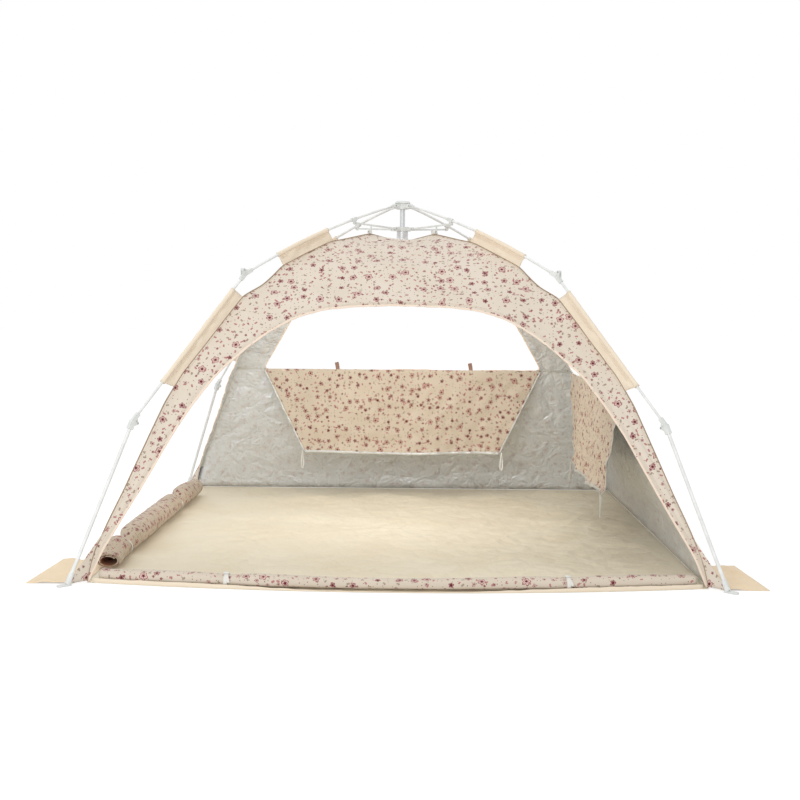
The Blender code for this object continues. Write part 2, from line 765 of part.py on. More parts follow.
def panel_section():
    """The closed outline of a panel's cloth: its outer line up, and its inner line back down."""
    outer = [Vector(point) for point in ridge_points()]
    inner = []
    for index, point in enumerate(outer):
        before = direction(outer[max(index - 1, 0)], outer[max(index, 1)])
        after = direction(outer[min(index, len(outer) - 2)], outer[min(index + 1, len(outer) - 1)])
        normal = (outward(before) + outward(after)).normalized()
        inner.append(point + normal * CLOTH_THICKNESS / math.cos(before.angle(after, 0) / 2))
    rise = direction(outer[0], outer[1])
    inner[0] = outer[0] - Vector((CLOTH_THICKNESS / rise.y, 0))
    return outer + inner[::-1]


def door_outline():
    side = [(DOOR_HALF * across, DOOR_HEIGHT * up) for across, up in DOOR_SHARES]
    bottom = [(side[0][0], -OVERRUN)]
    right = bottom + side
    return right + [(-across, up) for across, up in reversed(right[:-1])]


def window_outline():
    """The trapezoid of a window with its corners rounded off."""
    corners = [
        Vector((-WINDOW_BOTTOM_HALF, WINDOW_BOTTOM)),
        Vector((WINDOW_BOTTOM_HALF, WINDOW_BOTTOM)),
        Vector((WINDOW_TOP_HALF, WINDOW_TOP)),
        Vector((-WINDOW_TOP_HALF, WINDOW_TOP)),
    ]
    outline = []
    for index, corner in enumerate(corners):
        before = direction(corner, corners[index - 1])
        after = direction(corner, corners[(index + 1) % 4])
        start = corner + before * WINDOW_CORNER
        end = corner + after * WINDOW_CORNER
        for step in range(WINDOW_CORNER_STEPS + 1):
            share = step / WINDOW_CORNER_STEPS
            outline.append(start.lerp(corner, share).lerp(corner.lerp(end, share), share))
    return outline


def sleeve(line, start, end, seam_start, seam_end, side):
    """A sleeve round a rod, and the fin of cloth from it to the ridge seam, on one side of the leg."""
    rod = stretch(line, start, end)
    lap = SLEEVE_CLOTH + PANEL_GAP + SEAM_BITE
    seam_top = ridge_height(seam_start / math.sqrt(2))
    seam_bottom = ridge_height(seam_end / math.sqrt(2))
    heights = [height for _, height in ridge_points() if seam_bottom < height < seam_top]
    heights = [seam_bottom, *heights, seam_top]
    seam = [(ridge_width(height) * math.sqrt(2) - lap, height) for height in heights]
    outline = [tuple(point) for point in rod] + seam
    fin = plate("fin", [outline], SLEEVE_CLOTH / 2, side=side * (PANEL_GAP + SLEEVE_CLOTH / 2))
    ring = tube("sleeve", in_leg_plane(rod), ARM_RADIUS + SLEEVE_CLEARANCE + SLEEVE_WALL)
    ahead = direction(rod[-2], rod[-1]) * OVERRUN
    behind = direction(rod[0], rod[1]) * OVERRUN
    line_cut = [rod[0] - behind, *rod[1:-1], rod[-1] + ahead]
    bore = tube("bore", in_leg_plane(line_cut), around(ARM_RADIUS, SLEEVE_CLEARANCE))
    return cut(fused(ring, fin), bore)


def tail(side):
    """The strip of cloth from the canopy's corner down to the foot."""
    lap = SLEEVE_CLOTH + PANEL_GAP + SEAM_BITE
    heights = [height for _, height in ridge_points() if TAIL_END_BOTTOM < height < TAIL_TOP]
    heights = [TAIL_END_BOTTOM, *heights, TAIL_TOP]
    seam = [(ridge_width(height) * math.sqrt(2) - lap, height) for height in heights]
    socket = (LEG_RADIUS + FOOT_SOCKET_WALL) / -LEG_WAY.y + FIT_GAP
    ends = []
    for height in (TAIL_END_TOP, TAIL_END_BOTTOM):
        beside_socket = GROUND.x + LEG_WAY.x / LEG_WAY.y * height - socket
        ends.append((min(beside_socket, FOOT_REACH - FOOT_HEEL - FIT_GAP), height))
    outline = [*seam, *ends]
    return plate("tail", [outline], SLEEVE_CLOTH / 2, side=side * (PANEL_GAP + SLEEVE_CLOTH / 2))


def canopy_panel(name, opening, with_sleeves):
    """A panel that faces +X: its section drawn out sideways, mitred on the diagonals and cut open."""
    wide = FLOOR_HALF + OVERRUN
    section = plate(name, [panel_section()], wide)
    wedge = [(PANEL_GAP, 0), (wide + PANEL_GAP, -wide), (wide + PANEL_GAP, wide)]
    mitre = plate("mitre", [wedge], ROOF_HEIGHT + OVERRUN, Matrix())
    panel = combined(section, mitre, "INTERSECT")
    half = wide / 2
    hole_cut = plate("opening", [opening], half, WALL_PLANE @ Matrix.Translation((0, 0, half)))
    panel = cut(panel, hole_cut)
    if not with_sleeves:
        return panel
    upper = (ARM, UPPER_SLEEVE_START, UPPER_SLEEVE_END, UPPER_SEAM_START, UPPER_SEAM_END)
    start = UPPER_ELBOW_REACH + LOWER_SLEEVE_START_GAP
    end = LOWER_ELBOW_REACH - LOWER_SLEEVE_END_GAP
    middle = [UPPER_ELBOW, LOWER_ELBOW]
    lower = (middle, start, end, start - LOWER_SEAM_START_INSET, end - LOWER_SEAM_END_INSET)
    for azimuth, side in ((45, -1), (-45, 1)):
        shapes = [sleeve(*upper, side), sleeve(*lower, side), tail(side)]
        for shape in shapes:
            shape.data.transform(Matrix.Rotation(math.radians(azimuth), 4, "Z"))
        panel = fused(panel, *shapes)
    return panel


def front_edge(x):
    """How far forward of the corners the floor's front edge bows at this distance from the middle."""
    return FRONT_BOW * (1 - (x / FLOOR_HALF) ** 2)


def floor_sheet():
    """The floor with its bowed front edge, and the sand flap beside each front corner."""
    front = FLOOR_HALF + CLOTH_THICKNESS
    flap = [
        (FLOOR_HALF + SAND_FLAP_TOE_WIDTH, -SAND_FLAP_FRONT),
        (FLOOR_HALF + SAND_FLAP_WIDTH, -SAND_FLAP_FRONT),
        (FLOOR_HALF + SAND_FLAP_REAR_WIDTH, -SAND_FLAP_REAR),
        (FLOOR_HALF, -SAND_FLAP_ROOT_REAR),
    ]
    right = [*flap, (FLOOR_HALF, front)]
    left = [(-x, y) for x, y in reversed(right)]
    xs = [FLOOR_HALF * (2 * i / FRONT_POINTS - 1) for i in range(FRONT_POINTS + 1)]
    edge = [(x, -front - front_edge(x)) for x in xs]
    half = FLOOR_THICKNESS / 2
    return plate("floor", [edge + right + left], half, Matrix.Translation((0, 0, half)))


def oval(name, half_width, half_height):
    """A closed profile curve with a flat underside, for the rolled doors."""
    curve = bpy.data.curves.new(name, "CURVE")
    curve.dimensions = "2D"
    spline = curve.splines.new("POLY")
    spline.points.add(ROLL_PROFILE_POINTS - 1)
    flat = math.cos(math.pi / ROLL_PROFILE_POINTS)
    for index, point in enumerate(spline.points):
        angle = math.tau * (index + 0.5) / ROLL_PROFILE_POINTS
        across = half_width * math.cos(angle) / flat
        up = half_height * math.sin(angle) / flat
        point.co = (across, up, 0, SPLINE_WEIGHT_SHARE)
    spline.use_cyclic_u = True
    return linked(name, curve)


def pinch(place, ties, width, depth_share):
    """The share of its full girth that a roll keeps near its ties."""
    return 1 - sum(depth_share * math.exp(-(((place - tie) / width) ** 2)) for tie in ties)


def front_door_roll():
    """The rolled front door, which lies flat along the bowed sill."""
    xs = [FRONT_ROLL_HALF * (2 * i / (FRONT_ROLL_POINTS - 1) - 1) for i in range(FRONT_ROLL_POINTS)]
    base = -FLOOR_HALF - CLOTH_THICKNESS + FRONT_ROLL_INSET
    centre = FLOOR_THICKNESS + FIT_GAP + FRONT_ROLL_HEIGHT / 2
    points = [(x, base - front_edge(x), centre) for x in xs]
    radii = [pinch(x, (-FRONT_TIE_HALF, FRONT_TIE_HALF), TIE_WIDTH, FRONT_PINCH_SHARE) for x in xs]
    profile = oval("front_roll_profile", FRONT_ROLL_DEPTH / 2, FRONT_ROLL_HEIGHT / 2)
    return tube("front_roll", points, 0, radii=radii, profile=profile)


def left_door_roll():
    """The rolled side door on the floor, drawn in at its ties and open at its near end."""
    length = LEFT_ROLL_FRONT + LEFT_ROLL_REAR
    ys = [-LEFT_ROLL_FRONT + length * i / (LEFT_ROLL_POINTS - 1) for i in range(LEFT_ROLL_POINTS)]
    centre = FLOOR_THICKNESS + FIT_GAP + LEFT_ROLL_RADIUS
    radii = [pinch(y, LEFT_TIES, TIE_WIDTH, LEFT_PINCH_SHARE) for y in ys]
    slant = (LEFT_ROLL_FRONT_REACH - LEFT_ROLL_REACH) / length
    # A pinched stretch still lies on the floor
    points = []
    for y, keep in zip(ys, radii):
        x = -LEFT_ROLL_REACH - slant * (LEFT_ROLL_REAR - y)
        points.append(Vector((x, y, centre - LEFT_ROLL_RADIUS * (1 - keep))))
    profile = oval("left_roll_profile", LEFT_ROLL_RADIUS, LEFT_ROLL_RADIUS)
    roll = tube("left_roll", points, 0, radii=radii, profile=profile)
    inward = direction(points[0], points[1])
    inward.z = 0
    mouth = [points[0] - inward * OVERRUN, points[0] + inward * LEFT_ROLL_MOUTH_DEPTH]
    return cut(roll, tube("mouth", mouth, LEFT_ROLL_MOUTH))


def hem_face():
    """How far from the middle the inner face of a window's hem stands."""
    height = WINDOW_BOTTOM - HEM_HEIGHT
    slope = direction((ridge_width(height), height), (ridge_width(WINDOW_BOTTOM), WINDOW_BOTTOM))
    return ridge_width(WINDOW_BOTTOM) - CLOTH_THICKNESS / slope.y - PANEL_GAP - HEM_THICKNESS


def window_hem():
    """The strip inside a window's lower edge, on the panel that faces +X."""
    low = WINDOW_BOTTOM - HEM_HEIGHT
    face = hem_face()
    half = WINDOW_BOTTOM_HALF
    outline = [(-half, low), (half, low), (half, WINDOW_BOTTOM), (-half, WINDOW_BOTTOM)]
    middle = face + HEM_THICKNESS / 2
    return plate("hem", [outline], HEM_THICKNESS / 2, WALL_PLANE @ Matrix.Translation((0, 0, middle)))


def window_flap():
    """The flap that hangs inside a window: a grid drawn into a trapezoid, with ripples down it."""
    form = bmesh.new()
    bmesh.ops.create_grid(form, x_segments=FLAP_COLUMNS, y_segments=FLAP_ROWS, size=0.5)
    plane = hem_face() - PANEL_GAP - FLAP_THICKNESS / 2
    for vert in form.verts:
        down = 0.5 - vert.co.y
        half = WINDOW_BOTTOM_HALF + (FLAP_BOTTOM_HALF - WINDOW_BOTTOM_HALF) * down
        across = 2 * vert.co.x
        ripple = FLAP_RIPPLE * down * math.sin(across * FLAP_RIPPLES * math.pi / 2 + FLAP_RIPPLE_PHASE)
        height = WINDOW_BOTTOM - (WINDOW_BOTTOM - FLAP_BOTTOM) * down
        vert.co = (plane - FLAP_RIPPLE * down + ripple, across * half, height)
    mesh = bpy.data.meshes.new("flap")
    form.to_mesh(mesh)
    form.free()
    flap = linked("flap", mesh)
    cloth = flap.modifiers.new("Cloth", "SOLIDIFY")
    cloth.thickness = FLAP_THICKNESS
    cloth.offset = 0
    return settled(flap)


def flap_origin():
    return (hem_face() - PANEL_GAP - FLAP_THICKNESS / 2, 0, WINDOW_BOTTOM)


def straight_rod(name, start, end, radius):
    return tube(name, in_leg_plane([start, end]), radius)


def build_legs():
    on_each_leg("arm_pole", arm_rod(), ROD_WHITE, HUB_ORIGIN)
    on_each_leg("arm_bracket", arm_bracket(), MOULDED_WHITE, HUB_ORIGIN)
    upper = (UPPER_HALF_BEND, UPPER_PIVOT_OFFSET, ARM_RADIUS)
    lower = (-LOWER_HALF_BEND, LOWER_PIVOT_OFFSET)
    shape = knuckle("knuckle", UPPER_ELBOW, ARM_WAY, outward(ARM_WAY), *upper, False)
    on_each_leg("arm_knuckle", shape, MOULDED_WHITE, HUB_ORIGIN)
    shape = knuckle("knuckle", UPPER_ELBOW, -MID_WAY, outward(MID_WAY), *upper, True)
    on_each_leg("mid_knuckle_top", shape, MOULDED_WHITE, UPPER_ORIGIN)
    reach = MID_WAY * ROD_STOP
    rod = straight_rod("mid", UPPER_ELBOW + reach, LOWER_ELBOW - reach, ARM_RADIUS)
    on_each_leg("mid_pole", rod, ROD_WHITE, UPPER_ORIGIN)
    shape = knuckle("knuckle", LOWER_ELBOW, MID_WAY, -outward(MID_WAY), *lower, ARM_RADIUS, False)
    on_each_leg("mid_knuckle_bottom", shape, MOULDED_WHITE, UPPER_ORIGIN)
    shape = knuckle("knuckle", LOWER_ELBOW, -LEG_WAY, -outward(LEG_WAY), *lower, LEG_RADIUS, True)
    on_each_leg("leg_knuckle", shape, MOULDED_WHITE, LOWER_ORIGIN)
    rod = straight_rod("leg", LOWER_ELBOW + LEG_WAY * ROD_STOP, GROUND - LEG_WAY * LEG_END, LEG_RADIUS)
    on_each_leg("leg_pole", rod, ROD_WHITE, LOWER_ORIGIN)
    on_each_leg("foot", foot(), MOULDED_WHITE, LOWER_ORIGIN)
    on_each_leg("strut", strut(), MOULDED_WHITE, RUNNER_ORIGIN)


def build_centre():
    part("hub_body", hub_body(), MOULDED_WHITE)
    part("hub_cap", hub_cap(), MOULDED_WHITE)
    part("hub_rod", hub_rod(), GREY_METAL)
    part("runner", runner(), MOULDED_WHITE)
    part("runner_tube", runner_tube(), GREY_METAL)


def build_cloth():
    part("floor_sheet", floor_sheet(), FLOOR_CLOTH)
    for side, opening, with_sleeves in (
        ("front", door_outline(), True),
        ("rear", window_outline(), True),
        ("left", door_outline(), False),
        ("right", window_outline(), False),
    ):
        panel = canopy_panel("panel", opening, with_sleeves)
        part(f"canopy_{side}", panel, PRINTED_CLOTH, azimuth=FACING[side])
    for side in ("rear", "right"):
        part(f"{side}_window_hem", window_hem(), HEM_CLOTH, azimuth=FACING[side])
        part(f"{side}_flap", window_flap(), FLAP_CLOTH, flap_origin(), FACING[side])
    part("front_door_roll", front_door_roll(), ROLLED_CLOTH)
    part("left_door_roll", left_door_roll(), ROLLED_CLOTH)


build_legs()
build_centre()
build_cloth()
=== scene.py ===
"""A pop-up beach tent: a white folding frame outside, and a printed canopy with a silver coating inside it.
"""

import json
import logging
import math
from dataclasses import dataclass, field
from enum import Enum

import bmesh
import bpy
import numpy as np
from mathutils import Matrix


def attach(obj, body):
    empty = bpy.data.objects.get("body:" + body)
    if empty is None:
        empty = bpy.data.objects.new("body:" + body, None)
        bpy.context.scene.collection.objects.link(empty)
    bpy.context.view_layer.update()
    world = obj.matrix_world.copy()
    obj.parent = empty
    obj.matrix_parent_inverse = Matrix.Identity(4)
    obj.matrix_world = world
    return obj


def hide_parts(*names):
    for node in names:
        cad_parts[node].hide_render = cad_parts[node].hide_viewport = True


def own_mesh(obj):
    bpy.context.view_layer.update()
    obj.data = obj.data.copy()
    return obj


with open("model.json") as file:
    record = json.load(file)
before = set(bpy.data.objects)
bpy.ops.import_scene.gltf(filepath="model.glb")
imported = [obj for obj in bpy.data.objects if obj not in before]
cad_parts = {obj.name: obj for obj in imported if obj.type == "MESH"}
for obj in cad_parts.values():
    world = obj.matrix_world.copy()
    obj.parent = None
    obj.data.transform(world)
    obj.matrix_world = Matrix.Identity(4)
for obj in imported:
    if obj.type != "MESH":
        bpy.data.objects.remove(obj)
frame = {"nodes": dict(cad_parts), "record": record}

LOG = logging.getLogger("beach_tent")
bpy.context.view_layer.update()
UP = np.array((0.0, 0.0, 1.0))
FLOOR_HALF = 1.06
FLOOR_SEAM = 0.003
FRONT_BOW = 0.104
RIDGE_REACH = math.sqrt(2)  # a ridge's distance from the hub's axis for each metre of half width


class Facing(Enum):
    """The four sides of the tent, by the azimuth of their outward normal in degrees."""

    RIGHT = 0
    REAR = 90
    LEFT = 180
    FRONT = 270

    def axes(self) -> tuple[np.ndarray, np.ndarray]:
        """The outward direction of this side, and the direction to the right along it from outside.

        Returns:
            Two unit vectors.
        """
        turn = math.radians(self.value)
        return (
            np.array((math.cos(turn), math.sin(turn), 0.0)),
            np.array((-math.sin(turn), math.cos(turn), 0.0)),
        )


class Corner(Enum):
    """The four legs, by their azimuth in degrees."""

    rear_right = 45
    rear_left = 135
    front_left = 225
    front_right = 315

    def place(self, reach: np.ndarray, height: np.ndarray, side: np.ndarray | float = 0.0) -> np.ndarray:
        """Sets points of this leg's plane in the tent.

        Args:
            reach: Distances out from the hub's axis.
            height: Heights above the ground.
            side: Distances to the side of the plane.

        Returns:
            One row of x, y and z for each point.
        """
        turn = math.radians(self.value)
        reach, height, side = np.broadcast_arrays(*(np.asarray(a, float) for a in (reach, height, side)))
        x = reach * math.cos(turn) - side * math.sin(turn)
        y = reach * math.sin(turn) + side * math.cos(turn)
        return np.stack((x, y, height), axis=-1)


class Slot(Enum):
    """The record's material slots."""

    ROD = "white_rod"
    PLASTIC = "white_plastic"
    METAL = "grey_metal"
    PRINT = "printed_cloth"
    ROLL = "rolled_cloth"
    FLOOR = "floor_cloth"
    FLAP = "flap_cloth"
    HEM = "hem_cloth"


# Small geometry


def unit(rows: np.ndarray) -> np.ndarray:
    """Each row at length one."""
    return rows / np.maximum(np.linalg.norm(rows, axis=-1, keepdims=True), 1e-9)


def ease(value: np.ndarray, low: float, high: float) -> np.ndarray:
    """A smooth step from 0 at low to 1 at high."""
    t = np.clip((np.asarray(value, float) - low) / (high - low), 0.0, 1.0)
    return t * t * (3.0 - 2.0 * t)


def lengths(points: np.ndarray) -> np.ndarray:
    """The distance along a line to each of its points."""
    return np.concatenate(([0.0], np.cumsum(np.linalg.norm(np.diff(points, axis=0), axis=1))))


def respaced(points: np.ndarray, count: int) -> np.ndarray:
    """The same line with evenly spaced points.

    Args:
        points: The line's points, one a row.
        count: How many points it gets.

    Returns:
        The new points.
    """
    along = lengths(points)
    wanted = np.linspace(0.0, along[-1], count)
    return np.stack([np.interp(wanted, along, points[:, k]) for k in range(points.shape[1])], axis=1)


def rounded(points: np.ndarray, count: int, reach: float) -> np.ndarray:
    """A line through rough points with its corners smoothed, and its two ends kept.

    Args:
        points: The rough points.
        count: How many points the smooth line gets.
        reach: How far along the line the smoothing acts, in metres.

    Returns:
        The smooth line's points.
    """
    line = respaced(points, count)
    step = lengths(line)[-1] / (count - 1)
    half = max(1, int(round(reach / step)))
    kernel = np.hanning(2 * half + 3)[1:-1]
    kernel /= kernel.sum()
    padded = np.concatenate((2 * line[0] - line[half:0:-1], line, 2 * line[-1] - line[-2:-half - 2:-1]))
    columns = [np.convolve(padded[:, k], kernel, mode="valid") for k in range(points.shape[1])]
    return respaced(np.stack(columns, axis=1), count)


@dataclass(frozen=True)
class Ripples:
    """Smooth, repeatable unevenness of cloth: a sum of sine waves of random directions."""

    shortest: float
    longest: float
    seed: int
    count: int = 22
    heading: float = 0.0
    spread: float = math.pi

    def at(self, x: np.ndarray, y: np.ndarray) -> np.ndarray:
        """The height of the unevenness, mostly from -1 to 1.

        Args:
            x: First coordinates on the cloth, in metres.
            y: Second coordinates.

        Returns:
            One height for each point.
        """
        chance = np.random.default_rng(self.seed)
        total = np.zeros(np.shape(x))
        for _ in range(self.count):
            length = self.shortest * (self.longest / self.shortest) ** chance.random()
            angle = self.heading + (chance.random() - 0.5) * self.spread
            shift = chance.random() * math.tau
            wave = (np.cos(angle) * x + np.sin(angle) * y) * math.tau / length + shift
            total += np.sin(wave)
        return total / math.sqrt(self.count)

    def creased(self, x: np.ndarray, y: np.ndarray) -> np.ndarray:
        """The same unevenness with sharp ridges where it changes sign, as in crumpled coated cloth."""
        return 0.55 - np.abs(self.at(x, y))


# Meshes


def mesh_object(
    name: str,
    points: np.ndarray,
    faces: list[tuple[int, ...]],
    corner_uvs: np.ndarray,
    materials: list[bpy.types.Material],
    face_materials: np.ndarray | None = None,
    closed: bool = True,
) -> bpy.types.Object:
    """Makes a smooth mesh object with a cloth map in metres.

    Args:
        name: The object's name.
        points: Its vertices.
        faces: Its faces, as vertex numbers.
        corner_uvs: The map's place of each face corner, in the order of the faces.
        materials: The materials of its slots.
        face_materials: Each face's slot, where there are several.
        closed: Whether the faces are turned outwards afterwards.

    Returns:
        The object, linked to the scene.
    """
    mesh = bpy.data.meshes.new(name)
    mesh.from_pydata([tuple(p) for p in np.asarray(points, float)], [], faces)
    layer = mesh.uv_layers.new(name="Cloth")
    layer.data.foreach_set("uv", np.asarray(corner_uvs, np.float32).ravel())
    for material in materials:
        mesh.materials.append(material)
    if face_materials is not None:
        mesh.polygons.foreach_set("material_index", np.asarray(face_materials, np.int32))
    mesh.polygons.foreach_set("use_smooth", np.ones(len(faces), bool))
    form = bmesh.new()
    form.from_mesh(mesh)
    bmesh.ops.remove_doubles(form, verts=form.verts, dist=0.000005)
    if closed:
        bmesh.ops.recalc_face_normals(form, faces=form.faces)
    form.to_mesh(mesh)
    form.free()
    obj = bpy.data.objects.new(name, mesh)
    bpy.context.scene.collection.objects.link(obj)
    return obj


def loft(
    name: str,
    rings: np.ndarray,
    materials: list[bpy.types.Material],
    along: np.ndarray | None = None,
    around: np.ndarray | None = None,
    column_materials: np.ndarray | None = None,
    cyclic: bool = False,
) -> bpy.types.Object:
    """A closed skin over a row of closed sections, capped at its two ends.

    Args:
        name: The object's name.
        rings: The sections' points, as rows of sections.
        materials: The materials of its slots.
        along: Each section's place on the cloth map, in metres.
        around: Each section point's place on the map, with one more for the way back to the first.
        column_materials: The slot of the faces that follow each section point.
        cyclic: Whether the last section joins the first.

    Returns:
        The object.
    """
    count, sides = rings.shape[:2]
    if along is None:
        along = lengths(rings.mean(axis=1))
    if around is None:
        around = lengths(np.concatenate((rings[0], rings[0][:1])))
    faces, uvs, slots = [], [], []
    for i in range(count if cyclic else count - 1):
        after = (i + 1) % count
        end = along[after] if after else along[-1] + (along[-1] - along[-2])
        for j in range(sides):
            k = (j + 1) % sides
            faces.append((i * sides + j, i * sides + k, after * sides + k, after * sides + j))
            uvs += [(along[i], around[j]), (along[i], around[j + 1])]
            uvs += [(end, around[j + 1]), (end, around[j])]
            slots.append(0 if column_materials is None else int(column_materials[j]))
    if not cyclic:
        for base in (0, (count - 1) * sides):
            faces.append(tuple(range(base, base + sides)))
            flat = rings.reshape(-1, 3)[base:base + sides]
            uvs += [(p[0] + p[1], p[2]) for p in flat]
            slots.append(0)
    return mesh_object(name, rings.reshape(-1, 3), faces, np.array(uvs), materials, np.array(slots))


def directions(points: np.ndarray) -> np.ndarray:
    """The direction of a line at each of its points."""
    return unit(np.gradient(points, axis=0))


def strip(
    name: str,
    spine: np.ndarray,
    across: np.ndarray,
    width: float,
    thickness: float,
    material: bpy.types.Material,
    cyclic: bool = False,
    sides: int = 10,
) -> bpy.types.Object:
    """A band with rounded edges that follows a line.

    Args:
        name: The object's name.
        spine: The line's points.
        across: The direction of the band's width at each point.
        width: Its width.
        thickness: Its thickness.
        material: Its finish.
        cyclic: Whether it closes on itself.
        sides: How many points its section has.

    Returns:
        The band.
    """
    ahead = directions(spine)
    if cyclic:
        ahead = unit(np.roll(spine, -1, axis=0) - np.roll(spine, 1, axis=0))
    across = unit(across - ahead * np.sum(across * ahead, axis=1, keepdims=True))
    facing = np.cross(ahead, across)
    turns = math.tau * (np.arange(sides) + 0.5) / sides
    wide = np.sign(np.cos(turns)) * np.abs(np.cos(turns)) ** 0.5 * width / 2
    high = np.sign(np.sin(turns)) * np.abs(np.sin(turns)) ** 0.7 * thickness / 2
    rings = spine[:, None] + across[:, None] * wide[None, :, None] + facing[:, None] * high[None, :, None]
    return loft(name, rings, [material], cyclic=cyclic)


def tube(name: str, spine: np.ndarray, radii: np.ndarray | float, material: bpy.types.Material,
         sides: int = 16) -> bpy.types.Object:
    """A round rod that follows a line.

    Args:
        name: The object's name.
        spine: The line's points.
        radii: Its radius, or one for each point.
        material: Its finish.
        sides: How many sides it has.

    Returns:
        The rod.
    """
    ahead = directions(spine)
    start = np.cross(ahead[0], UP if abs(ahead[0][2]) < 0.9 else np.array((1.0, 0.0, 0.0)))
    first = unit(start - ahead * (ahead @ start)[:, None])
    second = np.cross(ahead, first)
    turns = math.tau * np.arange(sides) / sides
    ring = first[:, None] * np.cos(turns)[None, :, None] + second[:, None] * np.sin(turns)[None, :, None]
    radii = np.broadcast_to(np.asarray(radii, float), len(spine))
    return loft(name, spine[:, None] + ring * radii[:, None, None], [material])


def leaf(
    name: str,
    grid: np.ndarray,
    facing: np.ndarray,
    thickness: float,
    materials: list[bpy.types.Material],
    flat: np.ndarray,
) -> bpy.types.Object:
    """A thin closed sheet over a grid of points, with its front and its back in two finishes.

    Args:
        name: The object's name.
        grid: Rows of points in the middle of the cloth.
        facing: The direction that the front looks to, at each point.
        thickness: How thick the sheet is.
        materials: The finish of the front, of the back, and of the edge.
        flat: Each point's place on the cloth map, in metres.

    Returns:
        The sheet.
    """
    rows, columns = grid.shape[:2]
    total = rows * columns
    front = (grid + facing * thickness / 2).reshape(-1, 3)
    back = (grid - facing * thickness / 2).reshape(-1, 3)
    places = flat.reshape(-1, 2)
    faces, uvs, slots = [], [], []

    def add(corners: tuple[int, ...], slot: int) -> None:
        """Adds a face with its map corners.

        Args:
            corners: The face's vertex numbers.
            slot: The number of its finish.
        """
        faces.append(corners)
        uvs.extend(places[c % total] for c in corners)
        slots.append(slot)

    number = np.arange(total).reshape(rows, columns)
    for i in range(rows - 1):
        for j in range(columns - 1):
            a, b, c, d = number[i, j], number[i, j + 1], number[i + 1, j + 1], number[i + 1, j]
            add((a, b, c, d), 0)
            add((d + total, c + total, b + total, a + total), min(1, len(materials) - 1))
    rim = [*number[0, :-1], *number[:-1, -1], *number[-1, :0:-1], *number[:0:-1, 0]]
    for a, b in zip(rim, rim[1:] + rim[:1]):
        add((a, a + total, b + total, b), len(materials) - 1)
    return mesh_object(name, np.concatenate((front, back)), faces, np.array(uvs), materials, np.array(slots))


# Finishes


def linear(red: float, green: float, blue: float) -> tuple[float, float, float, float]:
    """A colour as shader nodes take it, from its values of 0 to 255 on a screen."""
    parts = [c / 255 for c in (red, green, blue)]
    return (*((c / 12.92 if c <= 0.04045 else ((c + 0.055) / 1.055) ** 2.4) for c in parts), 1.0)


Socket = bpy.types.NodeSocket
Input = Socket | float | tuple[float, ...]


class Graph:
    """A node tree that nodes are added to."""

    tree: bpy.types.NodeTree

    def node(self, kind: str, **settings: object) -> bpy.types.Node:
        """Adds a node and sets its options.

        Args:
            kind: The node's type.
            settings: Its options by name.

        Returns:
            The node.
        """
        made = self.tree.nodes.new(kind)
        for key, value in settings.items():
            setattr(made, key, value)
        return made


